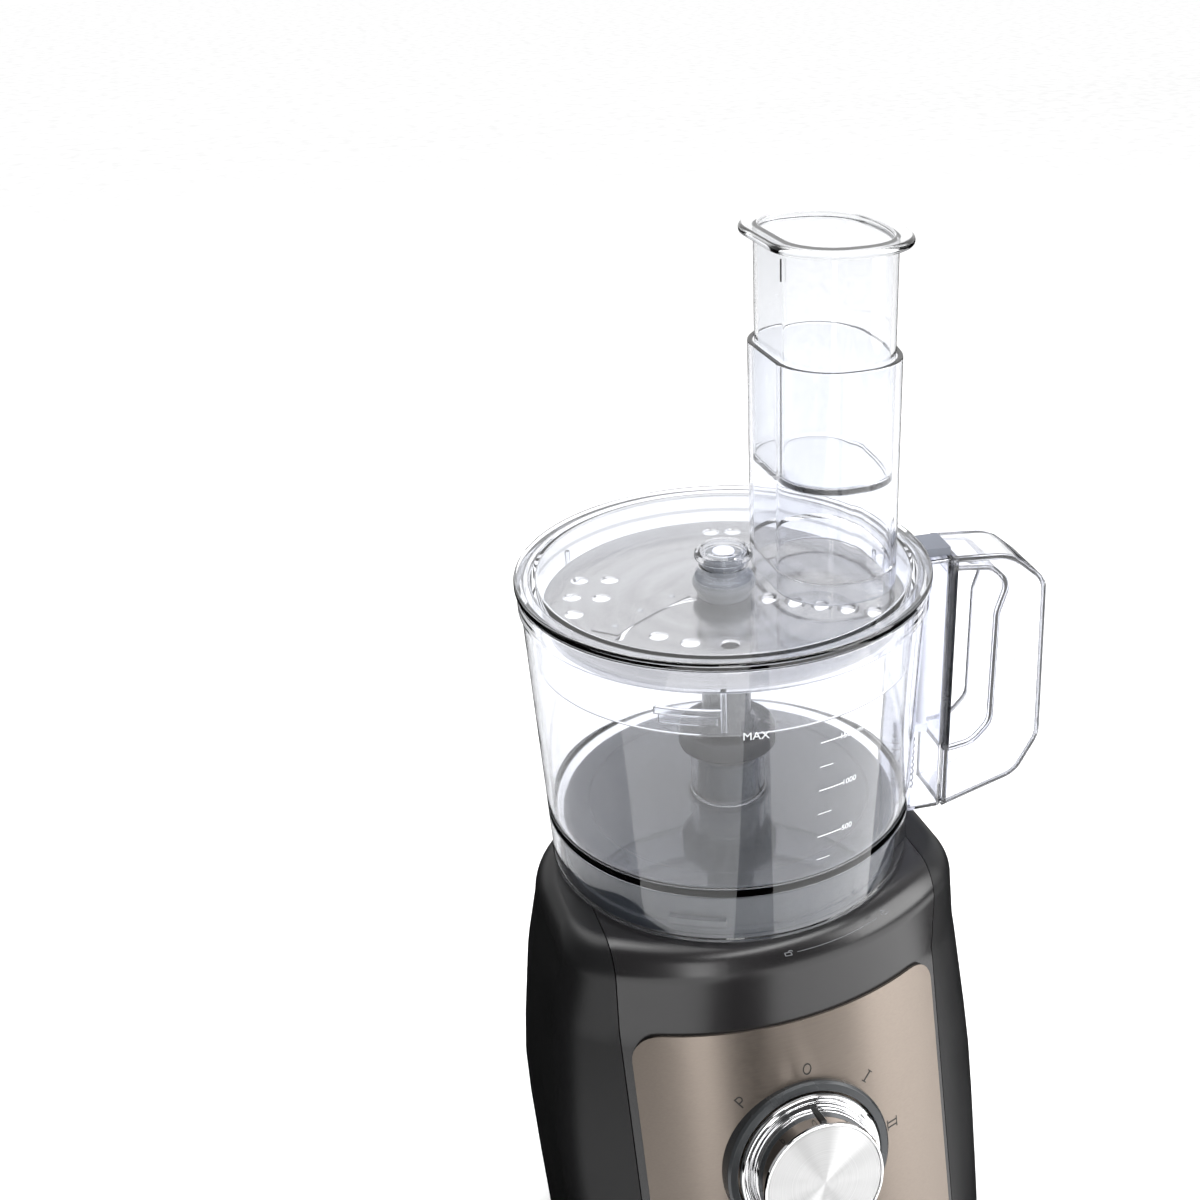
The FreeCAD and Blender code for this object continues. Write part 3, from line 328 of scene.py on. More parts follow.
@dataclass(frozen=True)
class Stacked(Finish):
    """Layers seen edge on: punched steel sheets, or turns of enamelled wire."""

    metallic: float = 0.7
    pitch_mm: float = 1.0
    depth: float = 0.5

    def pattern(self, tree: Tree, shader: Node, place: Socket) -> None:
        """Bands up the drive axis, one for each sheet or turn, drawn wide enough to show."""
        bands = add_node(tree, "TexWave", {"Scale": 1 / (self.pitch_mm * MM) / 6.28,
                                           "Distortion": 0.4, "Detail": 1.0},
                         {"Vector": place}, wave_type="BANDS", bands_direction="Z")
        self.tint(tree, shader, bands.outputs["Fac"], self.depth)
        self.raise_by(tree, shader, bands.outputs["Fac"], 0.12)


@dataclass(frozen=True)
class Laminate(Finish):
    """Glass fibre board: woven cloth under green lacquer with copper runs."""

    def pattern(self, tree: Tree, shader: Node, place: Socket) -> None:
        """Weave relief and square copper runs under the lacquer."""
        weave = add_node(tree, "TexChecker", {"Scale": 1 / (0.8 * MM)}, {"Vector": place})
        self.raise_by(tree, shader, weave.outputs["Fac"], 0.01)
        runs = add_node(tree, "TexBrick", {"Scale": 1 / (14 * MM), "Mortar Size": 0.05,
                                           "Color1": linear(self.colour),
                                           "Color2": linear("#1D5A35"),
                                           "Mortar": linear("#3F8A52")}, {"Vector": place})
        tree.links.new(runs.outputs["Color"], shader.inputs["Base Color"])


SEAT_TILT = 14.5
KNOB_CENTRE = (-3.5, -115.0, 129.0)
KNOB_AXIS = (0.0, -math.cos(math.radians(SEAT_TILT)), math.sin(math.radians(SEAT_TILT)))

# Satin graphite ABS: dark warm grey skin that gives a broad soft highlight on the brow.
GRAPHITE = Moulded("graphite_abs", "#1B1A1B", 0.24, ior=1.5, grain_mm=0.5, relief_mm=0.0015,
                   mottle=0.02)
# The turret is the same ABS straight from a plainer tool, a little cooler and paler.
TURRET_ABS = Moulded("turret_abs", "#2B2F34", 0.34, ior=1.5, relief_mm=0.003)
# Fine textured black ABS: nearly even black with a weak sheen.
BLACK_ABS = Moulded("black_side_abs", "#151516", 0.38, ior=1.5, specular=0.25, relief_mm=0.003,
                    mottle=0.03)
UNDER_ABS = Moulded("black_under_abs", "#121213", 0.55, grain_mm=0.9, relief_mm=0.012)
BEZEL_ABS = Moulded("bezel_satin_abs", "#3A3C3E", 0.26, ior=1.55, metallic=0.35)
SWITCH_ABS = Moulded("switch_case_pbt", "#1A1A1A", 0.5)
# Brushed stainless sheet with a warm clear lacquer: taupe, with long level scratch lines.
PANEL_STEEL = Brushed("brushed_panel_steel", "#7D746C", 0.40, line_mm=0.7, length_mm=40.0,
                      relief_mm=0.0006, stretch=0.9, spread=0.04)
# Stamped stainless disc, satin polished: pale, and mirrors what stands on it softly.
DISC_STEEL = Brushed("satin_disc_steel", "#D2D1D0", 0.17, lay=Lay.ROUND_AXIS, line_mm=0.8,
                     relief_mm=0.0015, stretch=0.15, spread=0.03)
BLADE_STEEL = Polished("ground_blade_steel", "#D8D8DA", 0.16)
# Turned aluminium cap: rings about the knob's axis open the highlight into fans.
TURNED_FACE = Brushed("turned_knob_face", "#D4D4D4", 0.42, lay=Lay.ROUND_AXIS, line_mm=0.4,
                      relief_mm=0.0006, stretch=0.95, spread=0.03,
                      centre_mm=KNOB_CENTRE, axis=KNOB_AXIS)
CHROME = Polished("knob_chrome_plate", "#DADADB", 0.05, spread=0.02)
SHAFT_STEEL = Brushed("ground_shaft_steel", "#B9B9BC", 0.25, lay=Lay.ROUND_AXIS, stretch=0.3)
SPRING_STEEL = Polished("spring_wire_steel", "#B8B8BA", 0.2)
ZINC = Polished("zinc_plated_screws", "#B4B6BA", 0.3, smear_mm=4.0, spread=0.08)
BEARING = Polished("ground_bearing_steel", "#C6C6CA", 0.12)
BRONZE = Brushed("turned_bearing_bronze", "#B98A4A", 0.28, lay=Lay.ROUND_AXIS, stretch=0.3)
CAST = Moulded("cast_motor_alloy", "#A7A7AA", 0.45, metallic=0.9, grain_mm=1.1,
               relief_mm=0.03, mottle=0.1)
LAMINATION = Stacked("stacked_motor_steel", "#6E6F73", 0.42, pitch_mm=1.0)
COPPER = Stacked("enamelled_copper_wire", "#B4632E", 0.3, metallic=0.85, pitch_mm=0.9, depth=0.4)
CAN = Polished("drawn_capacitor_can", "#C4C4C6", 0.24)
BOARD = Laminate("lacquered_board", "#17492B", 0.35)
FAN_PP = Moulded("fan_polypropylene", "#D9D8D2", 0.45)
RUBBER = Rubber("moulded_rubber", "#161616", 0.8, specular=0.3)
STEM_ABS = Moulded("stem_black_abs", "#17181B", 0.24, grain_mm=0.8, relief_mm=0.002)
HUB_ABS = Moulded("hub_grey_abs", "#5F6265", 0.28, ior=1.53, relief_mm=0.003)
BUTTON_ABS = Moulded("button_pale_abs", "#D3D6DE", 0.2, relief_mm=0.002)
TAB_ABS = Moulded("tab_smoke_grey", "#5E626C", 0.18, relief_mm=0.002)
ROD_POM = Moulded("rod_pale_acetal", "#C9CBD2", 0.35, relief_mm=0.003)
INK = Moulded("panel_print_ink", "#14120F", 0.55, relief_mm=0.001)
DECK_INK = Moulded("deck_print_ink", "#77797B", 0.5, relief_mm=0.001)
SCALE_INK = Moulded("scale_print_ink", "#DADDE0", 0.5, relief_mm=0.001)
POINTER_PAINT = Moulded("pointer_black_paint", "#0B0B0B", 0.4, relief_mm=0.001)
# Clear SAN: colourless in a thin wall, cool grey where the light runs along it.
CLEAR_BOWL = Clear("clear_bowl_san", "#F4F5F8", 0.02, ior=1.5)
CLEAR_LID = Clear("clear_lid_san", "#F4F5F8", 0.02, ior=1.5)
CLEAR_PUSHER = Clear("clear_pusher_san", "#F6F7F9", 0.02, ior=1.5)
CLEAR_HANDLE = Clear("clear_handle_san", "#F2F3F7", 0.04, ior=1.5, haze=0.03)
# Studio surfaces: matt paint on the floor, and card that only mirror-like surfaces see.
FLOOR_PAINT = Moulded("matt_white_floor", "#FAFAFA", 0.9, grain_mm=2.0, relief_mm=0.01,
                      specular=0.1)
BLACK_CARD = Moulded("black_card", "#050505", 0.9, specular=0.0)


# ------------------------------------------------------------------ shaping
def rounded_path(corners: Sequence[Corner], closed: bool = True,
                 steps: int = 6) -> list[Vector]:
    """Follow straight runs whose corners are rounded by arcs.

    Args:
        corners: (x, y, radius) of each corner, a radius of 0 for a sharp one.
        closed: whether the last corner runs on to the first.
        steps: straight pieces in each arc.

    Returns:
        The path's points, in the corners' order.
    """
    points: list[Vector] = []
    count = len(corners)
    for index, (x, y, radius) in enumerate(corners):
        here = Vector((x, y))
        if radius <= 0 or (not closed and index in (0, count - 1)):
            points.append(here)
            continue
        back = Vector(corners[index - 1][:2]) - here
        on = Vector(corners[(index + 1) % count][:2]) - here
        half = back.angle(on) / 2
        reach = min(radius / math.tan(half), 0.49 * back.length, 0.49 * on.length)
        size = reach * math.tan(half)
        centre = here + (back.normalized() + on.normalized()).normalized() * size / math.sin(half)
        start = here + back.normalized() * reach - centre
        end = here + on.normalized() * reach - centre
        first = math.atan2(start.y, start.x)
        sweep = math.remainder(math.atan2(end.y, end.x) - first, 2 * math.pi)
        for step in range(steps + 1):
            turn = first + sweep * step / steps
            points.append(centre + Vector((math.cos(turn), math.sin(turn))) * size)
    return points


def arc(x: float, y: float, radius: float, first: float, last: float,
        steps: int) -> list[Vector]:
    """Give evenly spaced points on an arc, its angles in degrees.

    Args:
        x: the centre's first coordinate.
        y: the centre's second coordinate.
        radius: the arc's radius.
        first: angle of the first point.
        last: angle of the last point.
        steps: how many equal steps it takes.

    Returns:
        One point more than there are steps.
    """
    turns = [math.radians(first + (last - first) * k / steps) for k in range(steps + 1)]
    return [Vector((x + radius * math.cos(t), y + radius * math.sin(t))) for t in turns]


def at_height(outline: Iterable[Vector], height: float) -> list[Vector]:
    """Lift a flat outline to a height.

    Args:
        outline: flat points.
        height: their new height.

    Returns:
        The points in space.
    """
    return [Vector((p.x, p.y, height)) for p in outline]


class Blank:
    """A bmesh in millimetres that operators shape into one piece."""

    def __init__(self) -> None:
        """Start empty."""
        self.bm = bmesh.new()

    def wire(self, points: Sequence[Vector], closed: bool = True) -> list[bmesh.types.BMEdge]:
        """Lay edges through points, which may be flat or in space.

        Args:
            points: the points in order.
            closed: whether the last joins the first.

        Returns:
            The new edges.
        """
        verts = [self.bm.verts.new(p.to_3d()) for p in points]
        pairs = list(zip(verts, verts[1:])) + ([(verts[-1], verts[0])] if closed else [])
        return [self.bm.edges.new(pair) for pair in pairs]

    def turn(self, corners: Sequence[Corner], closed: bool = True, steps: int = 144,
             sweep: float = 360.0, arc_steps: int = 6) -> "Blank":
        """Turn a profile about Z.

        Args:
            corners: (radius, height, rounding) of each corner of the profile.
            closed: whether the profile is a ring's section, or runs from axis to axis.
            steps: faces round the turn.
            sweep: degrees of the turn.
            arc_steps: straight pieces in each rounding.

        Returns:
            This blank.
        """
        path = [Vector((p.x, 0, p.y)) for p in rounded_path(corners, closed, arc_steps)]
        edges = self.wire(path, closed)
        verts = list({v for e in edges for v in e.verts})
        bmesh.ops.spin(self.bm, geom=verts + edges, cent=(0, 0, 0), axis=(0, 0, 1),
                       angle=math.radians(sweep), steps=steps, use_merge=sweep == 360.0)
        bmesh.ops.remove_doubles(self.bm, verts=self.bm.verts, dist=1e-4)
        return self

    def loft(self, loops: Sequence[Sequence[Vector]], closed: bool = False,
             capped: bool = False) -> "Blank":
        """Skin loops that have the same number of points.

        Args:
            loops: each loop's points in space.
            closed: whether the last loop joins the first.
            capped: whether the first and last loops are filled.

        Returns:
            This blank.
        """
        rings = [self.wire(loop) for loop in loops]
        pairs = list(zip(rings, rings[1:])) + ([(rings[-1], rings[0])] if closed else [])
        for lower, upper in pairs:
            bmesh.ops.bridge_loops(self.bm, edges=lower + upper)
        for ring in (rings[0], rings[-1]) if capped else ():
            bmesh.ops.contextual_create(self.bm, geom=ring)
        return self

    def plate(self, outlines: Sequence[Sequence[Vector]], low: float, high: float) -> "Blank":
        """Raise a flat sheet with holes to a thickness.

        Args:
            outlines: the outer outline, then one for each hole.
            low: height of the underside.
            high: height of the top.

        Returns:
            This blank.
        """
        edges = [e for outline in outlines for e in self.wire(at_height(outline, low))]
        filled = bmesh.ops.triangle_fill(self.bm, edges=edges, use_beauty=True)["geom"]
        faces = [g for g in filled if isinstance(g, bmesh.types.BMFace)]
        raised = bmesh.ops.extrude_face_region(self.bm, geom=faces, use_keep_orig=True)["geom"]
        verts = [g for g in raised if isinstance(g, bmesh.types.BMVert)]
        bmesh.ops.translate(self.bm, verts=verts, vec=(0, 0, high - low))
        return self

    def block(self, low: Sequence[float], high: Sequence[float]) -> "Blank":
        """Add a box between two corners.

        Args:
            low: its lowest corner.
            high: its highest corner.

        Returns:
            This blank.
        """
        a, b = Vector(low), Vector(high)
        size = Matrix.Diagonal((*(b - a), 1))
        bmesh.ops.create_cube(self.bm, size=1, matrix=Matrix.Translation((a + b) / 2) @ size)
        return self

    def cut(self, point: Sequence[float], normal: Sequence[float], clear: bool = True) -> "Blank":
        """Slice at a plane and, if asked, drop what lies beyond it.

        Args:
            point: a point on the plane.
            normal: the way that the plane faces.
            clear: whether the side it faces is dropped.

        Returns:
            This blank.
        """
        geom = list(self.bm.verts) + list(self.bm.edges) + list(self.bm.faces)
        bmesh.ops.bisect_plane(self.bm, geom=geom, plane_co=point, plane_no=normal,
                               clear_outer=clear, dist=1e-5)
        return self

    def soften(self, width: float, degrees: float = 30.0, segments: int = 3) -> "Blank":
        """Round every edge that is sharper than an angle.

        Args:
            width: how far the rounding reaches.
            degrees: the angle.
            segments: faces across the rounding.

        Returns:
            This blank.
        """
        self.tidy()
        sharp = [e for e in self.bm.edges
                 if len(e.link_faces) == 2 and e.calc_face_angle(0) > math.radians(degrees)]
        bmesh.ops.bevel(self.bm, geom=sharp, offset=width, offset_type="OFFSET",
                        affect="EDGES", segments=segments, profile=0.5, material=-1,
                        clamp_overlap=True)
        return self

    def tidy(self) -> "Blank":
        """Merge doubles and turn the faces outwards.

        Returns:
            This blank.
        """
        bmesh.ops.remove_doubles(self.bm, verts=self.bm.verts, dist=1e-4)
        bmesh.ops.recalc_face_normals(self.bm, faces=self.bm.faces)
        return self

    def moved(self, matrix: Matrix) -> "Blank":
        """Transform everything made so far.

        Args:
            matrix: the transform.

        Returns:
            This blank.
        """
        bmesh.ops.transform(self.bm, matrix=matrix, verts=self.bm.verts)
        return self

    def join(self, other: "Blank") -> "Blank":
        """Take in another blank's faces and free it.

        Args:
            other: the blank that is used up.

        Returns:
            This blank.
        """
        mesh = bpy.data.meshes.new("joined")
        other.bm.to_mesh(mesh)
        other.bm.free()
        self.bm.from_mesh(mesh)
        bpy.data.meshes.remove(mesh)
        return self

    def staged(self, name: str, finish: Finish) -> bpy.types.Object:
        """Turn the blank into a part of the studio, which isn't part of the object.

        Args:
            name: the object's name.
            finish: what its surface is.

        Returns:
            The object.
        """
        bmesh.ops.scale(self.bm, vec=(MM, MM, MM), verts=self.bm.verts)
        mesh = bpy.data.meshes.new(name)
        self.bm.to_mesh(mesh)
        self.bm.free()
        mesh.materials.append(finish.material())
        made = bpy.data.objects.new(name, mesh)
        bpy.context.scene.collection.objects.link(made)
        return made

    def piece(self, name: str, body: str, slot: str, finish: Finish,
              replaces: Sequence[str] = (), wall: float = 0.0, round_mm: float = 0.0,
              sharp: float = 35.0) -> bpy.types.Object:
        """Turn the blank into a piece of the object.

        Args:
            name: the piece's name.
            body: the body that it moves with.
            slot: a material slot's name; not used.
            finish: what its surface is.
            replaces: the nodes that it stands for.
            wall: thickness in millimetres that grows inwards, 0 for a solid.
            round_mm: width of a small rounding on its sharp edges, 0 for none.
            sharp: angle in degrees above which an edge shades as a crease.

        Returns:
            The finished object.
        """
        self.tidy()
        bmesh.ops.scale(self.bm, vec=(MM, MM, MM), verts=self.bm.verts)
        mesh = bpy.data.meshes.new(name)
        self.bm.to_mesh(mesh)
        self.bm.free()
        mesh.shade_smooth()
        mesh.set_sharp_from_angle(angle=math.radians(sharp))
        mesh.materials.append(finish.material())
        made = bpy.data.objects.new(name, mesh)
        bpy.context.scene.collection.objects.link(made)
        if wall:
            thick = made.modifiers.new("wall", "SOLIDIFY")
            thick.thickness = wall * MM
            thick.offset = -1.0
        if round_mm:
            soft = made.modifiers.new("soft_edges", "BEVEL")
            soft.width = round_mm * MM
            soft.segments = 3
            soft.angle_limit = math.radians(sharp)
            soft.harden_normals = True
        weigh = made.modifiers.new("even_shading", "WEIGHTED_NORMAL")
        weigh.keep_sharp = True
        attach(made, body)
        if replaces:
            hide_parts(*replaces)
        LOG.info("%s on %s in %s, %d faces", name, body, finish.name, len(mesh.polygons))
        return made


def dress(node: str, finish: Finish) -> None:
    """Give a node that keeps its own shape its finish.

    Args:
        node: the node's name.
        finish: what its surface is.
    """
    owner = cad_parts[node]
    owner.data.materials.clear()
    owner.data.materials.append(finish.material())
    LOG.info("%s keeps its shape, in %s", node, finish.name)


# ------------------------------------------------------------------ base housing
@dataclass
class Housing:
    """Core shell, two side panels, steel front panel, turret, underside and feet."""

    half_width: float = 116.0
    back: float = 75.0
    back_corner: float = 70.0
    front: float = 115.0
    bow: float = 160.0
    front_corner: float = 30.0
    brow_height: float = 202.0
    brow_round: float = 17.0
    core_half: float = 84.0
    seam: float = 0.25
    wall: float = 3.0
    shoulder_pull: float = 11.0
    panel_half: float = 80.5
    panel_low: float = 46.0
    panel_high: float = 202.0
    panel_corner: float = 14.0
    panel_thickness: float = 1.5
    panel_hole: float = 8.0
    turret: float = 86.5
    turret_wall: float = 3.0
    nose: float = 15.5
    nose_bore: float = 9.0
    foot: float = 11.0
    centre_foot: float = 8.0
    foot_inset: float = 36.0
    back_foot_pull: float = 14.0
    louvre_low: float = 110.0
    louvre_pitch: float = 10.0
    louvre_gap: float = 4.0
    louvre_reach: float = 34.0
    louvres: int = 7
    deck: float = field(default_factory=lambda: box_mm("bowl_turret")[0].z)
    underside: float = field(default_factory=lambda: box_mm("base_plate")[1].z)

    def front_at(self, height: float) -> float:
        """Give how far the middle of the front stands out at a height.

        Args:
            height: the height.

        Returns:
            The distance from the drive axis.
        """
        lean = math.tan(math.radians(SEAT_TILT))
        return self.front - (min(height, self.brow_height) - KNOB_CENTRE[2]) * lean

    def side_pulls(self) -> list[Corner]:
        """Give (height, side pull, front pull) from the underside up to the brow.

        Returns:
            One entry for each level of the skin.
        """
        bottom, waist, brow = self.underside, KNOB_CENTRE[2], self.brow_height
        return [(bottom, 6.5, 5.0), (bottom + 5, 4.5, 1.0), (bottom + 24, 3.5, 0.0),
                (bottom + 48, 2.2, 0.0), (waist - 32, 0.4, 0.0), (waist - 6, 0.0, 0.0),
                (waist + 18, 1.4, 0.0), (brow - 8, 5.4, 0.0), (brow, 6.4, 0.0)]

    def plan(self, height: float, side_pull: float, front_pull: float) -> list[Vector]:
        """Give the plan outline at a height: bowed front, straight sides, round corners.

        Args:
            height: the height.
            side_pull: how far the sides and back stand in.
            front_pull: how far the front stands in.

        Returns:
            The outline's points, all levels with the same count.
        """
        corner = self.front_corner
        half = self.half_width - corner - side_pull
        back = self.back - corner - side_pull
        front = self.front_at(height) - corner - front_pull
        bow = self.bow - corner
        swing = math.degrees(math.asin(half / bow))
        side_front = bow * math.cos(math.radians(swing)) - bow + front
        deep = self.back_corner - corner
        x, y = half - deep, back - deep
        outline = arc(0, bow - front, self.bow, 270 - swing, 270 + swing, 56)
        outline += arc(half, -side_front, corner, 270 + swing, 360, 12)[1:]
        outline += arc(x, y, self.back_corner, 0, 90, 20)
        outline += arc(-x, y, self.back_corner, 90, 180, 20)
        outline += arc(-half, -side_front, corner, 180, 270 - swing, 12)[:-1]
        return outline

    def skin(self) -> Blank:
        """Skin the whole outside, open underneath.

        Returns:
            The skin, with a flat deck.
        """
        levels = self.side_pulls()
        start = self.deck - self.brow_round
        for step in range(13):
            a = math.radians(90 * step / 12)
            fall = 1 - math.cos(a)
            levels.append((start + self.brow_round * math.sin(a),
                           self.shoulder_pull + 0.6 * self.brow_round * fall,
                           self.brow_round * fall))
        loops = [at_height(self.plan(*level), level[0]) for level in levels]
        blank = Blank().loft(loops)
        middle = [e for e in blank.bm.edges if e.is_boundary
                  and all(abs(v.co.z - self.deck) < 1e-3 for v in e.verts)]
        bmesh.ops.contextual_create(blank.bm, geom=middle)
        return blank

    def build_shells(self) -> None:
        """Split the skin at the two seams into the core and the side panels."""
        edge = self.core_half
        core = self.skin().cut((edge - self.seam, 0, 0), (1, 0, 0))
        core.cut((self.seam - edge, 0, 0), (-1, 0, 0))
        self.open_louvres(core)
        core.piece("core_shell", "base", "graphite", GRAPHITE, ["housing_core"],
                   wall=self.wall, round_mm=0.5)
        for side, name in ((-1, "side_panel_left"), (1, "side_panel_right")):
            panel = self.skin().cut((side * (edge + self.seam), 0, 0), (-side, 0, 0))
            panel.piece(name + "_shell", "base", "black_side", BLACK_ABS, [name],
                        wall=self.wall, round_mm=0.5)

    def open_louvres(self, core: Blank) -> None:
        """Open the row of air slots in the back wall.

        Args:
            core: the core's skin.
        """
        starts = [self.louvre_low + self.louvre_pitch * k for k in range(self.louvres)]
        slots = [(start, start + self.louvre_gap) for start in starts]
        reach = self.louvre_reach
        for level in [z for pair in slots for z in pair]:
            core.cut((0, 0, level), (0, 0, 1), clear=False)
        for side in (-reach, reach):
            core.cut((side, 0, 0), (1, 0, 0), clear=False)
        gone = []
        for face in core.bm.faces:
            c = face.calc_center_median()
            if c.y > 0 and abs(c.x) < reach and any(a < c.z < b for a, b in slots):
                gone.append(face)
        bmesh.ops.delete(core.bm, geom=gone, context="FACES")

    def panel_y(self, x: float, z: float, proud: float) -> float:
        """Give the depth of the bowed front at a place, moved out by a distance.

        Args:
            x: the place across the front.
            z: its height.
            proud: how far it stands off the front.

        Returns:
            Its depth coordinate.
        """
        reach = self.bow + proud
        return self.bow - self.front_at(z) - math.sqrt(reach * reach - x * x)

    def build_panel(self) -> None:
        """Wrap the brushed sheet on the bowed front."""
        half, low, high, corner = (self.panel_half, self.panel_low, self.panel_high,
                                   self.panel_corner)
        frame_line = rounded_path([(-half, low, corner), (half, low, corner),
                                   (half, high, corner), (-half, high, corner)], steps=8)
        blank = Blank()
        hole = arc(KNOB_CENTRE[0], KNOB_CENTRE[2], self.panel_hole, 0, 352.5, 47)
        edges = [e for line in (frame_line, hole) for e in blank.wire(line)]
        bmesh.ops.triangle_fill(blank.bm, edges=edges, use_beauty=True)
        for k in range(1, 40):
            blank.cut((-half + 2 * half * k / 40, 0, 0), (1, 0, 0), clear=False)
        for v in blank.bm.verts:
            v.co = Vector((v.co.x, self.panel_y(v.co.x, v.co.y, self.panel_thickness), v.co.y))
        blank.piece("front_panel_sheet", "base", "brushed_steel", PANEL_STEEL,
                    ["front_panel"], wall=self.panel_thickness, round_mm=0.35)

    def build_turret(self) -> None:
        """Turn the drum with its shaft nose and add the three bayonet ledges."""
        low, high = box_mm("bowl_turret")
        nose, radius, top = box_mm("turret_nose")[1].z, self.turret, high.z
        wall, neck, bore = self.turret_wall, self.nose, self.nose_bore
        blank = Blank().turn([
            (radius - wall, low.z, 0), (radius, low.z, 0.5), (radius, low.z + 6, 0.6),
            (radius - 1.0, low.z + 7, 0.6), (radius - 1.0, top, 4.0), (radius - 14, top, 0),
            (radius - 15, top - 0.8, 0.4), (22.0, top - 0.8, 1.0), (neck, top, 2.5),
            (neck, nose, 1.5), (bore, nose, 0.6), (bore, top - wall, 0),
            (radius - wall, top - wall, 0)])
        for k in range(3):
            ledge = arc(0, 0, radius - 1.5, 120 * k - 9, 120 * k + 9, 10)
            ledge += arc(0, 0, radius + 1.9, 120 * k + 9, 120 * k - 9, 10)
            blank.plate([ledge], low.z + 9, low.z + 12.5)
        blank.piece("turret_drum", "base", "graphite_satin", TURRET_ABS,
                    ["bowl_turret", "turret_nose"], round_mm=0.25)

    def build_feet(self) -> None:
        """Turn the four feet with their grip rings, and the pad on the drive axis."""
        low, high = box_mm("rubber_feet")
        outer, centre, top = self.foot, self.centre_foot, high.z
        front_x = self.half_width - self.foot_inset
        back_x = front_x - self.back_foot_pull
        feet = Blank()
        for x, y in ((-back_x, high.y - outer), (back_x, high.y - outer),
                     (-front_x, low.y + outer), (front_x, low.y + outer)):
            foot = Blank().turn([(2.0, 2.5, 0), (4.5, 2.5, 0.3), (4.5, 0, 0.5), (6.2, 0, 0.5),
                                 (6.8, 0.7, 0.3), (7.6, 0.7, 0.3), (8.2, 0, 0.5),
                                 (outer - 1.5, 0, 0.8), (outer, top, 0), (2.0, top, 0)],
                                steps=48, arc_steps=3)
            feet.join(foot.moved(Matrix.Translation((x, y, 0))))
        feet.join(Blank().turn([(0, 0, 0), (centre - 1, 0, 0.8), (centre, top, 0), (0, top, 0)],
                               steps=48, arc_steps=3))
        feet.piece("rubber_feet_set", "base", "foot_rubber", RUBBER, ["rubber_feet"])

    def dress(self) -> None:
        """Finish the nodes that keep their own shape."""
        dress("base_plate", UNDER_ABS)
        dress("foot_screws", ZINC)
        dress("cord_gland", UNDER_ABS)
        dress("cord_plate", GRAPHITE)

    def build(self) -> None:
        """Build and dress the whole base."""
        self.build_shells()
        self.build_panel()
        self.build_turret()
        self.build_feet()
        self.dress()


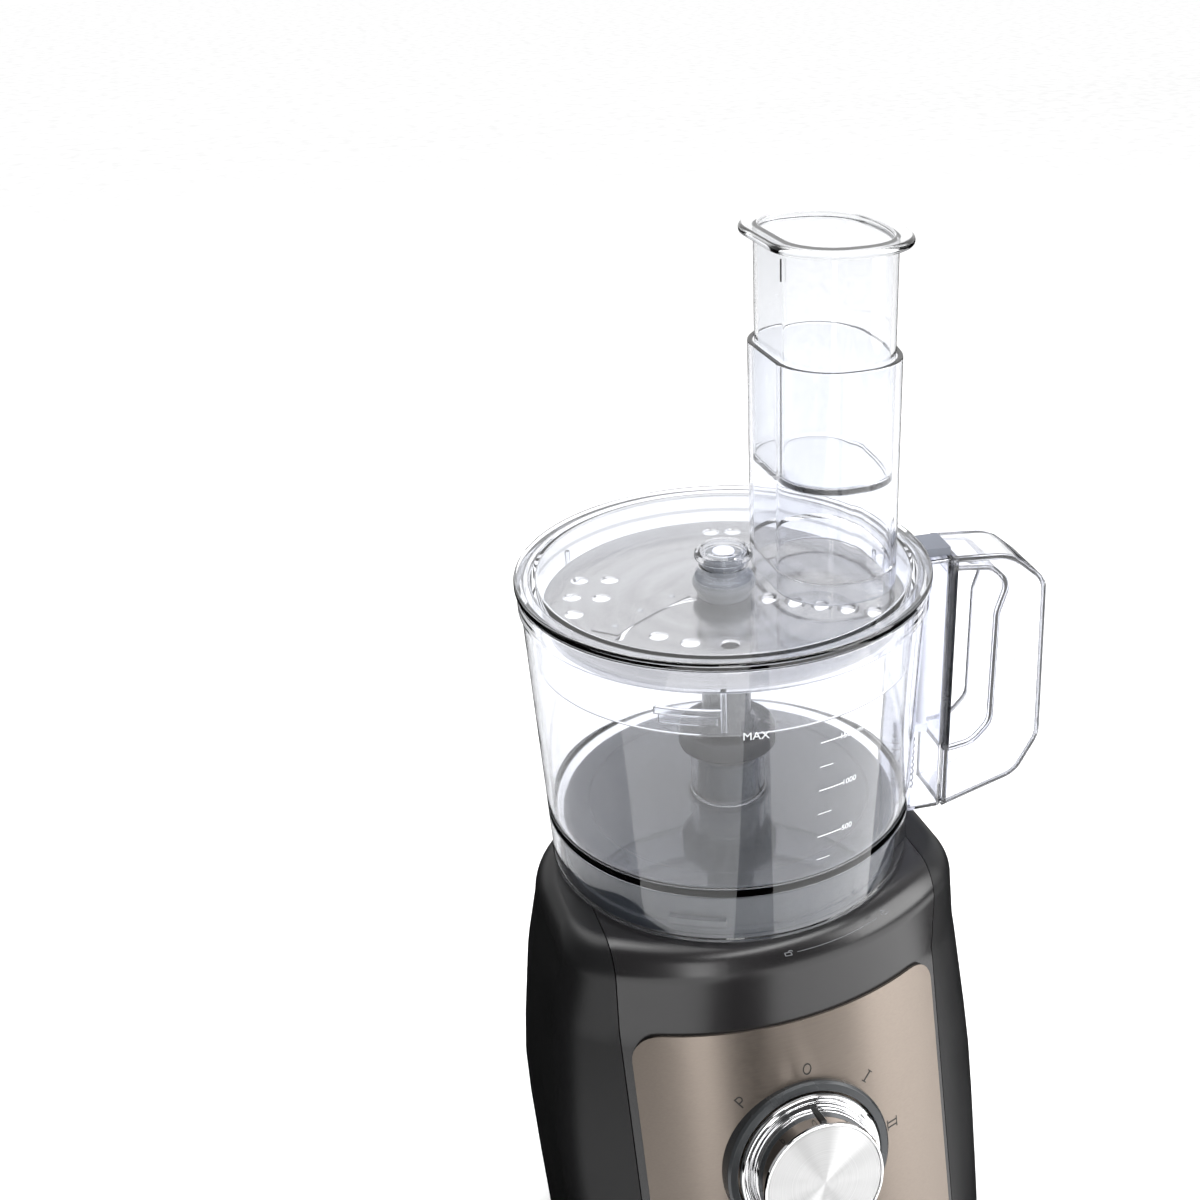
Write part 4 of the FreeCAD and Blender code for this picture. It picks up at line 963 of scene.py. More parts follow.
# ------------------------------------------------------------------ control knob
@dataclass
class Knob:
    """Bezel, chrome skirt, turned face, pointer and the printed marks."""

    skirt: float = 37.4
    face: float = 30.9
    lift: float = 3.2
    depth: float = 20.5
    bezel: float = 43.0
    bezel_rise: float = 5.0
    mark_reach: float = 49.3
    stroke: float = 0.75
    mark_size: float = 6.2
    pointer_turn: float = -5.0
    pointer_half: float = 1.6

    def seat(self) -> Matrix:
        """Give the place of the knob's own frame on the leaning front.

        Returns:
            The transform from the knob's frame.
        """
        turn = Matrix.Rotation(math.radians(90 - SEAT_TILT), 4, "X")
        return Matrix.Translation(KNOB_CENTRE) @ turn

    def build_body(self) -> None:
        """Turn the bezel, the skirt and the face on the seat."""
        top = self.lift + self.depth
        inner = self.bezel - 5.0
        bezel = Blank().turn([(inner, -9, 0), (self.bezel, -9, 0), (self.bezel, 3.4, 0.7),
                              (self.bezel - 1.2, self.bezel_rise - 0.4, 0.4),
                              (inner, self.bezel_rise, 0.5)], steps=160)
        bezel.moved(self.seat())
        bezel.piece("bezel_ring", "base", "bezel_grey", BEZEL_ABS, ["knob_bezel"])
        wall = self.face + 1.0
        skirt = Blank().turn([
            (3.5, self.lift, 0), (self.skirt - 1.0, self.lift, 0.4),
            (self.skirt, self.lift + 2.0, 1.6), (self.skirt - 0.8, self.lift + 4.6, 2.0),
            (self.skirt - 3.2, self.lift + 4.4, 1.2), (self.skirt - 4.2, self.lift + 3.0, 0.8),
            (wall + 0.7, self.lift + 3.8, 1.2), (wall, self.lift + 8, 3.0),
            (self.face + 0.4, top - 1.4, 0.8), (self.face, top, 0.5),
            (self.face - 1.2, top, 0.3), (self.face - 1.2, top - 1.4, 0),
            (3.5, top - 1.5, 0)], steps=176)
        skirt.moved(self.seat())
        skirt.piece("knob_chrome_skirt", "knob", "knob_chrome", CHROME, ["knob_skirt"],
                    sharp=50)
        face = Blank().turn([(0, top - 1.5, 0), (self.face - 1.3, top - 1.5, 0),
                             (self.face - 1.3, top - 0.5, 0.3), (self.face - 2.2, top - 0.35, 0),
                             (self.face - 2.4, top - 0.45, 0), (1.2, top - 0.3, 0),
                             (0, top - 0.45, 0)], closed=False, steps=176, arc_steps=3)
        face.moved(self.seat())
        face.piece("knob_turned_face", "knob", "knob_brushed", TURNED_FACE, ["knob_face"])

    def build_pointer(self) -> None:
        """Shape the black rib on the wall that points at the marks."""
        top = self.lift + self.depth
        rib = Blank().block((-self.pointer_half, self.face - 0.2, self.lift + 6.0),
                            (self.pointer_half, self.face + 1.6, top - 1.2)).soften(0.4)
        rib.moved(self.seat() @ Matrix.Rotation(math.radians(self.pointer_turn), 4, "Z"))
        rib.piece("knob_pointer_rib", "knob", "pointer_black", POINTER_PAINT,
                  ["knob_pointer"])

    def glyphs(self) -> dict[str, Blank]:
        """Draw the four marks as strokes about their own middles.

        Returns:
            Each mark's blank by its name.
        """
        half, bar = self.mark_size / 2, self.stroke / 2
        stop = Blank().turn([(half, 0, 0), (half - self.stroke, 0, 0),
                             (half - self.stroke, 0.1, 0), (half, 0.1, 0)], steps=48)
        stop.moved(Matrix.Diagonal((0.72, 1, 1, 1)))
        one, two, pulse = Blank(), Blank(), Blank()
        for glyph, stems, reach in ((one, (0.0,), 1.5), (two, (-1.3, 1.3), 2.9)):
            for x in stems:
                glyph.block((x - bar, -half, 0), (x + bar, half, 0.1))
            for y in (-half, half - 0.5):
                glyph.block((-reach, y, 0), (reach, y + 0.5, 0.1))
        pulse.block((-1.6, -half, 0), (-1.6 + self.stroke, half, 0.1))
        bowl = arc(0.3, 1.3, 1.8, -90, 90, 14) + arc(0.3, 1.3, 1.15, 90, -90, 14)
        pulse.plate([bowl], 0, 0.1)
        for y in (-0.5, 2.45):
            pulse.block((-1.6, y, 0), (0.3, y + 0.65, 0.1))
        return {"stop": stop, "one": one, "two": two, "pulse": pulse}

    def build_marks(self, housing: Housing) -> None:
        """Print the marks on the panel round the knob, each square to its radius.

        Args:
            housing: gives the shape of the front.
        """
        places = {"pulse": -38.0, "stop": 5.0, "one": 48.0, "two": 90.0}
        for name, blank in self.glyphs().items():
            turn = Matrix.Rotation(math.radians(-places[name]), 4, "Z")
            blank.moved(turn @ Matrix.Translation((0, self.mark_reach, 0)))
            for v in blank.bm.verts:
                x = v.co.x + KNOB_CENTRE[0]
                z = v.co.y * math.cos(math.radians(SEAT_TILT)) + KNOB_CENTRE[2]
                proud = housing.panel_thickness + 0.03 + v.co.z
                v.co = Vector((x, housing.panel_y(x, z, proud), z))
            blank.piece("mark_" + name, "base", "pointer_black", INK)

    def build(self, housing: Housing) -> None:
        """Build and dress the knob and its marks.

        Args:
            housing: gives the shape of the front.
        """
        self.build_body()
        self.build_pointer()
        self.build_marks(housing)
        dress("knob_shaft", SHAFT_STEEL)
        dress("knob_bush", BRONZE)
        dress("rotary_switch", SWITCH_ABS)


# ------------------------------------------------------------------ motor and drive
class Motor:
    """The drive inside the housing, which keeps its modelled shapes."""

    FINISHES: dict[str, tuple[str, Finish]] = {
        "stator_core": ("lamination_steel", LAMINATION),
        "rotor_core": ("lamination_steel", LAMINATION),
        "stator_windings": ("copper_winding", COPPER),
        "motor_cap_lower": ("cast_alloy", CAST),
        "motor_cap_upper": ("cast_alloy", CAST),
        "motor_bolts": ("zinc_steel", ZINC),
        "motor_mounts": ("foot_rubber", RUBBER),
        "bearing_lower": ("bearing_steel", BEARING),
        "bearing_upper": ("bearing_steel", BEARING),
        "shaft_bush": ("brass_bush", BRONZE),
        "shaft_seal": ("foot_rubber", RUBBER),
        "run_capacitor": ("capacitor_shell", CAN),
        "control_board": ("board_green", BOARD),
        "interlock_switch": ("switch_black", SWITCH_ABS),
        "motor_shaft": ("shaft_steel", SHAFT_STEEL),
        "cooling_fan": ("fan_white", FAN_PP),
        "drive_coupling": ("shaft_steel", SHAFT_STEEL),
        "switch_plunger": ("rod_white", ROD_POM),
    }

    def build(self) -> None:
        """Dress each node."""
        for node, (slot, finish) in self.FINISHES.items():
            dress(node, finish)


# ------------------------------------------------------------------ bowl
@dataclass
class Bowl:
    """Clear bowl with its handle, pillar, interlock rod and measuring marks."""

    bottom_radius: float = 91.6
    top_radius: float = 98.0
    rim_radius: float = 99.0
    wall: float = 2.6
    rim_band: float = 11.0
    floor_thickness: float = 3.0
    chimney: float = 19.0
    chimney_bore: float = 16.4
    handle_angle: float = -5.0
    handle_half: float = 16.0
    handle_reach: float = 167.0
    handle_grip: float = 30.0
    pillar_reach: float = 113.0
    handle_wall: float = 2.6
    low: float = field(default_factory=lambda: box_mm("bowl")[0].z)
    high: float = field(default_factory=lambda: box_mm("bowl")[1].z)
    turret_top: float = field(default_factory=lambda: box_mm("bowl_turret")[1].z)

    def radius_at(self, height: float) -> float:
        """Give the bowl's outer radius at a height, below its rim band.

        Args:
            height: the height.

        Returns:
            The radius.
        """
        rise = (height - self.low) / (self.high - self.low)
        return self.bottom_radius + rise * (self.top_radius - self.bottom_radius)

    def build_shell(self) -> None:
        """Turn the wall, floor and chimney."""
        floor = self.turret_top + 0.4
        band = self.high - self.rim_band
        inside = floor + self.floor_thickness
        top = floor + 37.0
        wall = self.wall
        blank = Blank().turn([
            (self.radius_at(self.low) - wall, self.low, 0.6),
            (self.radius_at(self.low) + 0.4, self.low, 0.9),
            (self.radius_at(self.low + 2.2) + 0.4, self.low + 2.2, 0.6),
            (self.radius_at(self.low + 2.8), self.low + 2.8, 0.4),
            (self.radius_at(band), band, 0.6),
            (self.rim_radius, band + 1.4, 0.6), (self.rim_radius, self.high, 0.9),
            (self.top_radius - wall, self.high, 0.8),
            (self.radius_at(inside + 8) - wall, inside + 8, 0),
            (self.radius_at(inside) - wall, inside, 6.0),
            (self.chimney, inside, 2.5), (self.chimney, top, 0.9),
            (self.chimney_bore, top, 0.9), (self.chimney_bore, floor, 0.8),
            (self.radius_at(floor) - wall, floor, 0.8)], steps=192)
        blank.piece("bowl_shell", "bowl", "clear_bowl", CLEAR_BOWL,
                    ["bowl", "bowl_floor", "bowl_chimney"], sharp=40)

    def build_ribs(self) -> None:
        """Add the catches under the rim and the ledges that hold the lid's lugs."""
        ribs = Blank()
        under = self.high - 24.5
        for k in range(3):
            middle = 120 * k
            ribs.plate([arc(0, 0, 92.5, middle - 9, middle + 9, 12)
                        + arc(0, 0, 95.2, middle + 9, middle - 9, 12)], under, under + 3.5)
            ribs.plate([arc(0, 0, 92.9, middle + 9, middle + 10.5, 2)
                        + arc(0, 0, 95.2, middle + 10.5, middle + 9, 2)], under - 8, under + 14)
        ribs.piece("lid_catches", "bowl", "clear_bowl", CLEAR_BOWL, round_mm=0.3)

    def side_view(self) -> tuple[list[Corner], list[Corner]]:
        """Give the handle's outline and its finger hole as (reach, height, rounding).

        Returns:
            The outline's corners and the hole's.
        """
        top, base = self.high - 1.5, self.low + 3.0
        reach, root = self.handle_reach, self.pillar_reach
        outer = [(root, top, 0), (reach - 22, top - 2, 26), (reach - 3, top - 18, 14),
                 (reach, base + 35, 16), (reach - 12, base + 13, 16), (root, base, 0)]
        grip = reach - self.handle_grip
        hole = [(root + 0.4, top - 7, 2), (grip - 4, top - 9, 8), (grip + 5, top - 18, 8),
                (grip, top - 34, 14), (grip, base + 48, 10), (grip - 9, base + 38, 12),
                (root + 0.4, base + 36, 2)]
        return outer, hole

    def build_handle(self) -> None:
        """Shape the hollow D handle and the pillar that joins it to the bowl."""
        half = self.handle_half
        turn = Matrix.Rotation(math.radians(self.handle_angle), 4, "Z")
        upright = turn @ Matrix(((1, 0, 0, 0), (0, 0, -1, 0), (0, 1, 0, 0), (0, 0, 0, 1)))
        outer, hole = self.side_view()
        handle = Blank().plate([rounded_path(outer, steps=10), rounded_path(hole, steps=8)],
                               -half, half)
        handle.soften(3.6, 40, 5)
        handle.moved(upright)
        handle.piece("handle_grip", "bowl", "clear_handle", CLEAR_HANDLE, ["bowl_handle"],
                     wall=self.handle_wall, sharp=50)
        top, base = self.high - 1.5, self.low + 3.0
        levels = []
        band = self.high - self.rim_band - 0.6
        for height, reach in ((base, self.radius_at(base)), (band, self.radius_at(band)),
                              (band + 1.5, self.rim_radius), (top, self.rim_radius)):
            clear = reach + 0.15
            swing = math.degrees(math.asin(half / clear))
            line = arc(0, 0, clear, -swing, swing, 14)
            root = self.pillar_reach - 0.15
            line += rounded_path([(line[-1].x, half, 0), (root, half, 3.0), (root, -half, 3.0),
                                  (line[0].x, -half, 0)], closed=False)[1:-1]
            levels.append(at_height(line, height))
        pillar = Blank().loft(levels, capped=True)
        pillar.soften(0.8, 60, 2)
        pillar.moved(turn)
        pillar.piece("handle_pillar_box", "bowl", "clear_handle", CLEAR_HANDLE,
                     ["handle_pillar"], wall=2.2, sharp=50)

    def build_marks(self) -> None:
        """Print the full line, its word and the measuring steps on the outside."""
        self.lettering("MAX", 5.6, -102.0, self.low + 114.5, "mark_full")
        lines = Blank()
        for step in range(6):
            height = self.low + 106.0 - 13.0 * step
            radius = self.radius_at(height) + 0.03
            for reach, width in ((13.0, 0.5),) if step % 2 == 0 else ((7.0, 0.4),):
                start = -84.0
                sweep = math.degrees(reach / radius)
                band = arc(0, 0, radius, start, start + sweep, 8)
                band += arc(0, 0, radius + 0.06, start + sweep, start, 8)
                lines.plate([band], height, height + width)
        lines.piece("scale_lines", "bowl", "clear_bowl", SCALE_INK)
        for step, text in enumerate(("1500 ml", "1000", "500")):
            self.lettering(text, 4.2, -74.0, self.low + 105.0 - 26.0 * step,
                           "scale_number_%d" % (step + 1))

    def lettering(self, text: str, tall: float, degrees: float, height: float,
                  name: str) -> None:
        """Wrap generic characters round the wall.

        Args:
            text: what to write.
            tall: character height in millimetres.
            degrees: where the middle of the text lies about the drive axis.
            height: the height of its foot.
            name: the piece's name.
        """
        curve = bpy.data.curves.new(name + "_line", "FONT")
        curve.body = text
        curve.size = tall
        curve.align_x = "CENTER"
        curve.extrude = 0.03
        holder = bpy.data.objects.new(name + "_line", curve)
        bpy.context.scene.collection.objects.link(holder)
        bpy.context.view_layer.update()
        mesh = bpy.data.meshes.new_from_object(holder)
        bpy.data.objects.remove(holder)
        blank = Blank()
        blank.bm.from_mesh(mesh)
        bpy.data.meshes.remove(mesh)
        for v in blank.bm.verts:
            z = height + v.co.y
            radius = self.radius_at(z) + 0.04 + v.co.z
            a = math.radians(degrees) + v.co.x / radius
            v.co = Vector((radius * math.cos(a), radius * math.sin(a), z))
        blank.piece(name, "bowl", "clear_bowl", SCALE_INK)

    def build(self) -> None:
        """Build and dress the bowl and what moves with it."""
        self.build_shell()
        self.build_ribs()
        self.build_handle()
        self.build_marks()
        dress("rod_spring", SPRING_STEEL)
        dress("interlock_rod", ROD_POM)


# ------------------------------------------------------------------ lid, tube, pusher
@dataclass
class FeedOutline:
    """Plan of the feed tube: an arc about the drive axis with round corners."""

    near: float = 21.0
    far: float = 83.5
    half: float = 42.4
    corner: float = 27.5

    def loop(self, inset: float, height: float) -> list[Vector]:
        """Give the outline moved inwards by an inset, at a height.

        Args:
            inset: how far it moves in.
            height: its height.

        Returns:
            The outline's points.
        """
        far, corner = self.far - inset, self.corner - inset
        rise = self.half - self.corner
        inner_x = self.near + self.corner
        outer_x = math.sqrt((self.far - self.corner) ** 2 - rise ** 2)
        swing = math.degrees(math.asin(rise / (self.far - self.corner)))
        points = arc(0, 0, far, -swing, swing, 12)
        points += arc(outer_x, rise, corner, swing, 90, 12)[1:]
        points += arc(inner_x, rise, corner, 90, 180, 16)
        points += arc(inner_x, -rise, corner, 180, 270, 16)
        points += arc(outer_x, -rise, corner, 270, 360 - swing, 12)[:-1]
        return at_height(points, height)


@dataclass
class Lid:
    """Lid with its skirt, boss and feed tube, the coding tab, and the pusher."""

    outline: FeedOutline = field(default_factory=FeedOutline)
    radius: float = 100.0
    flange: float = 4.0
    plate: float = 2.5
    skirt: float = 92.0
    skirt_wall: float = 2.0
    skirt_depth: float = 40.0
    boss: float = 14.2
    boss_bore: float = 10.2
    boss_rise: float = 9.0
    wall: float = 2.6
    gap: float = 0.6
    pusher_wall: float = 2.4
    flange_out: float = 3.5
    flange_thick: float = 4.0
    top: float = field(default_factory=lambda: box_mm("lid")[1].z)
    tube_low: float = field(default_factory=lambda: box_mm("feed_tube")[0].z)
    tube_high: float = field(default_factory=lambda: box_mm("feed_tube")[1].z)

    def swept(self, section: Sequence[Corner], closed: bool) -> list[list[Vector]]:
        """Give the loops of a wall whose section is (inset, height, rounding).

        Args:
            section: the section's corners.
            closed: whether the section's last corner joins the first.

        Returns:
            One loop for each point of the rounded section.
        """
        return [self.outline.loop(p.x, p.y) for p in rounded_path(section, closed, 5)]

    def build_lid(self) -> None:
        """Join rim, skirt, boss, plate and tube into one clear moulding."""
        top, under = self.top, self.top - self.plate
        low = self.top - self.flange
        lid = Blank().turn([
            (self.radius - 3, top, 0), (self.radius, top, 1.6), (self.radius, low, 1.0),
            (self.skirt + 1.2, low, 0.5), (self.skirt, low - 1.0, 0.5),
            (self.skirt, top - self.skirt_depth, 0.7),
            (self.skirt - self.skirt_wall, top - self.skirt_depth, 0.7),
            (self.skirt - self.skirt_wall, under, 0.9),
            (self.skirt - self.skirt_wall - 2, under, 0)], closed=False, steps=192)
        peak = top + self.boss_rise
        lid.turn([
            (self.boss - 0.4, top, 0), (self.boss - 2.6, top, 1.0),
            (self.boss - 2.2, top + 2.6, 1.2), (self.boss, top + 4.0, 1.4),
            (self.boss - 0.4, peak - 2.0, 1.2), (self.boss - 3.4, peak, 1.6), (0, peak, 0)],
            closed=False, steps=96)
        lid.turn([(self.boss_bore + 2, under, 0), (self.boss_bore, under, 0.6),
                  (self.boss_bore, peak - 1.9, 1.2), (0, peak - 1.9, 0)],
                 closed=False, steps=96)
        lid.loft(self.swept([
            (0, top, 0), (0, self.tube_high, 0.7), (self.wall, self.tube_high, 0.7),
            (self.wall, self.tube_low, 0.7), (0, self.tube_low, 0.7), (0, under, 0)], False))
        for height in (top, under):
            rims = [e for e in lid.bm.edges if e.is_boundary
                    and all(abs(v.co.z - height) < 1e-3 for v in e.verts)]
            bmesh.ops.triangle_fill(lid.bm, edges=rims, use_beauty=True)
        lid.piece("lid_and_tube", "lid", "clear_lid", CLEAR_LID,
                  ["lid", "lid_boss", "feed_tube"], sharp=40)

    def build_details(self) -> None:
        """Add the bayonet lugs and dress the coding tab."""
        lugs = Blank()
        for k in range(3):
            lugs.plate([arc(0, 0, self.skirt - 0.1, 120 * k - 8, 120 * k + 8, 10)
                        + arc(0, 0, self.skirt + 1.7, 120 * k + 8, 120 * k - 8, 10)],
                       self.top - 34, self.top - 29.5)
        lugs.piece("lid_lugs", "lid", "clear_lid", CLEAR_LID, round_mm=0.3)
        dress("lid_tab", TAB_ABS)

    def build_pusher(self) -> None:
        """Sweep the hollow pusher with its rounded flange."""
        low, high = box_mm("pusher")
        outside = self.wall + self.gap
        inside = outside + self.pusher_wall
        rim = high.z - self.flange_thick
        pusher = Blank().loft(self.swept([
            (outside + 6, low.z, 0), (outside, low.z, 1.5), (outside, rim, 0.5),
            (-self.flange_out, rim, 1.6), (-self.flange_out, high.z, 1.8),
            (inside, high.z, 1.2), (inside, low.z + self.pusher_wall, 2.0),
            (inside + 6, low.z + self.pusher_wall, 0)], False))
        for height in (low.z, low.z + self.pusher_wall):
            rims = [e for e in pusher.bm.edges if e.is_boundary
                    and all(abs(v.co.z - height) < 1e-3 for v in e.verts)]
            bmesh.ops.contextual_create(pusher.bm, geom=rims)
        pusher.piece("pusher_cup", "pusher", "clear_pusher", CLEAR_PUSHER, ["pusher"], sharp=40)
        mark = self.outline.loop(outside - 0.05, 0)
        near = min(mark, key=lambda p: abs(p.x - self.outline.near - outside) + abs(p.y + 12))
        stroke = Blank().block((near.x - 0.35, near.y - 0.5, rim - 14),
                               (near.x + 0.1, near.y + 0.5, rim - 4))
        stroke.piece("pusher_mark", "pusher", "pointer_black", INK)

    def build(self) -> None:
        """Build and dress the lid and the pusher."""
        self.build_lid()
        self.build_details()
        self.build_pusher()


# ------------------------------------------------------------------ slicing disc
@dataclass
class Disc:
    """Steel disc with its blade, hoods, stem, hub and button."""

    radius: float = 87.7
    thickness: float = 1.6
    rim: float = 3.0
    hole: float = 4.5
    shaft: float = 6.0
    stem: float = 12.4
    bell: float = 24.7
    hub: float = 15.6
    neck: float = 9.4
    grater_angle: float = -38.0
    top: float = field(default_factory=lambda: box_mm("slicing_disc")[1].z)

    def spot(self, reach: float, degrees: float) -> Vector:
        """Give a place on the disc.

        Args:
            reach: its distance from the axis.
            degrees: its direction.

        Returns:
            The place.
        """
        a = math.radians(degrees)
        return Vector((reach * math.cos(a), reach * math.sin(a)))

    def openings(self) -> list[list[Vector]]:
        """Give the outlines of every opening in the plate.

        Returns:
            One closed outline for each opening.
        """
        spots = [self.spot(self.radius - 14.2, a) for a in (146.5, 161.0, 175.5, 75.5, 66.5)]
        spots += [self.spot(self.radius - 28.5, a) for a in (143.0, 162.5)]
        spots += [self.spot(self.radius - 35.5, a) for a in (215.0, 233.0, 253.0)]
        found = [arc(p.x, p.y, self.hole, 0, 350, 35) for p in spots]
        for reach in self.grater_reaches():
            found.append(self.teardrop(reach))
        edge = [Vector(p) for p in ((-14.8, -2.4), (-15.6, 1.6))]
        edge += self.bent((-15.6, 1.6), (-59.5, -23.6), 46.0)
        edge += [Vector((-63.4, -26.8))]
        edge += self.bent((-60.5, -30.2), (-14.8, -2.4), -46.0)
        found.append(edge[:-1])
        return found

    def grater_reaches(self) -> list[float]:
        """Give the distances of the grating openings from the axis.

        Returns:
            The distances, from the inside out.
        """
        return [22.7 + 13 * k for k in range(5)]

    def bent(self, start: Sequence[float], end: Sequence[float], radius: float) -> list[Vector]:
        """Give points on the arc between two places, turning left for a plus radius.

        Args:
            start: where the arc starts, which isn't repeated.
            end: where it ends.
            radius: its radius, minus to turn right.

        Returns:
            The points after the start.
        """
        a, b = Vector(start), Vector(end)
        half = (b - a).length / 2
        side = Vector((a.y - b.y, b.x - a.x)).normalized()
        centre = (a + b) / 2 + side * math.copysign(math.sqrt(radius ** 2 - half ** 2), radius)
        first = math.atan2(a.y - centre.y, a.x - centre.x)
        sweep = math.remainder(math.atan2(b.y - centre.y, b.x - centre.x) - first, 2 * math.pi)
        return arc(centre.x, centre.y, abs(radius), math.degrees(first),
                   math.degrees(first + sweep), 20)[1:]

    def teardrop(self, reach: float) -> list[Vector]:
        """Give one grating opening: round under its hood, drawn out in front.

        Args:
            reach: its distance from the axis.

        Returns:
            Its outline.
        """
        turn = Matrix.Rotation(math.radians(self.grater_angle), 2)
        shape = arc(0, 0, 3.7, -20, 200, 20)
        shape += [Vector((-2.4, -3.4)), Vector((-1.2, -5.0)), Vector((0.0, -5.4)),
                  Vector((1.2, -5.0)), Vector((2.4, -3.4))]
        middle = self.spot(reach, self.grater_angle)
        return [middle + turn @ p for p in shape]

    def build_plate(self) -> None:
        """Stamp the plate, with a rolled edge and softened openings."""
        low = self.top - self.thickness
        bore = arc(0, 0, self.shaft, 0, 354, 59)
        plate = Blank().plate([arc(0, 0, self.radius - 1.6, 0, 358, 179), bore]
                              + self.openings(), low, self.top)
        plate.soften(0.25, 40, 2)
        plate.piece("disc_plate", "spindle", "disc_steel", DISC_STEEL, ["slicing_disc"],
                    sharp=50)
        edge = Blank().turn([(self.radius - 1.7, low, 0.3), (self.radius - 1.7, self.top, 0.3),
                             (self.radius, self.top, 0.8), (self.radius, self.top - self.rim, 0.3),
                             (self.radius - 1.0, self.top - self.rim, 0.3),
                             (self.radius - 1.0, low, 0.3)], steps=180, arc_steps=4)
        edge.piece("disc_edge", "spindle", "disc_steel", DISC_STEEL)

    def build_blade(self) -> None:
        """Grind the blade along the slot, with its rivets."""
        top = self.top + 0.05
        front = [Vector((-16.5, 2.2))] + self.bent((-16.5, 2.2), (-60.2, -23.0), 190.0)
        outline = front + [Vector((-70.5, -13.0))]
        outline += self.bent((-70.5, -13.0), (-22.5, 14.0), -160.0)
        blade = Blank().plate([outline], top, top + 0.7)
        blade.soften(0.3, 40, 2)
        blade.piece("blade_plate", "spindle", "blade_steel", DISC_STEEL, ["slicing_blade"])
        rivets = Blank()
        for x, y in ((-25.0, 5.0), (-43.5, -3.5), (-59.0, -14.5)):
            head = bmesh.ops.create_uvsphere(rivets.bm, u_segments=20, v_segments=12, radius=1.7,
                                             matrix=Matrix.Translation((x, y, top + 0.6)))
            bmesh.ops.scale(rivets.bm, vec=(1, 1, 0.5), verts=head["verts"],
                            space=Matrix.Translation((-x, -y, -top - 0.6)))
        rivets.piece("rivet_heads", "spindle", "blade_steel", BLADE_STEEL, ["blade_rivets"])

    def build_hoods(self) -> None:
        """Press a raised hood over the back of each grating opening."""
        hoods = Blank()
        for reach in self.grater_reaches():
            spot = self.spot(reach, self.grater_angle)
            turn = math.radians(self.grater_angle)
            place = Matrix.Translation((spot.x, spot.y, self.top)) @ Matrix.Rotation(turn, 4, "Z")
            ring = Blank().turn([(3.7, 0.0, 0.0), (5.4, 0.0, 0.3), (4.9, 1.2, 0.7),
                                 (3.6, 1.7, 0.5), (3.4, 1.2, 0.3)], steps=36, sweep=200,
                                arc_steps=4)
            loose = [e for e in ring.bm.edges if e.is_boundary]
            bmesh.ops.holes_fill(ring.bm, edges=loose, sides=0)
            hoods.join(ring.moved(place @ Matrix.Rotation(math.radians(-10), 4, "Z")))
        hoods.piece("grating_hoods", "spindle", "blade_steel", DISC_STEEL, ["grating_teeth"])

    def build_centre(self) -> None:
        """Turn the stem with its bell, the waisted hub and the button."""
        low, high = box_mm("disc_stem")
        under = self.top - self.thickness
        bell_top = low.z + 11.0
        stem = Blank().turn([
            (9.0, low.z, 0), (self.stem, low.z, 0.6), (self.stem, bell_top - 3, 1.0),
            (self.bell - 3.2, bell_top - 3, 1.0), (self.bell - 3.2, low.z, 0.6),
            (self.bell, low.z, 0.6), (self.bell, bell_top, 2.4), (self.stem + 4, bell_top, 1.0),
            (self.stem, bell_top + 6, 5.0), (self.stem, high.z, 0.3), (9.0, under, 0)],
            steps=96)
        stem.piece("stem_and_bell", "spindle", "stem_black", STEM_ABS, ["disc_stem"])
        crown = box_mm("disc_hub")[1].z
        deck = self.top
        hub = Blank().turn([
            (self.shaft, deck, 0), (self.hub - 2.7, deck, 0.4),
            (self.hub - 2.2, deck + 2.4, 2.5), (self.hub, deck + 6.4, 4.0),
            (self.hub - 1.0, deck + 9.8, 3.5), (self.neck + 1.6, deck + 13.0, 2.5),
            (self.neck, deck + 15.2, 2.0), (self.neck, crown, 1.0), (0, crown, 0),
            (0, crown - 4, 0), (self.shaft, crown - 4, 0)], steps=96)
        hub.piece("hub_cap", "spindle", "hub_grey", HUB_ABS, ["disc_hub"], sharp=50)
        low, high = box_mm("hub_button")
        button = Blank().turn([(0, low.z, 0), (5.4, low.z, 0.2), (5.4, high.z - 0.1, 0.7),
                               (0, high.z, 0)], closed=False, steps=64)
        button.piece("hub_top_button", "spindle", "button_white", BUTTON_ABS, ["hub_button"])

    def build(self) -> None:
        """Build and dress what the shaft turns inside the bowl."""
        self.build_plate()
        self.build_blade()
        self.build_hoods()
        self.build_centre()


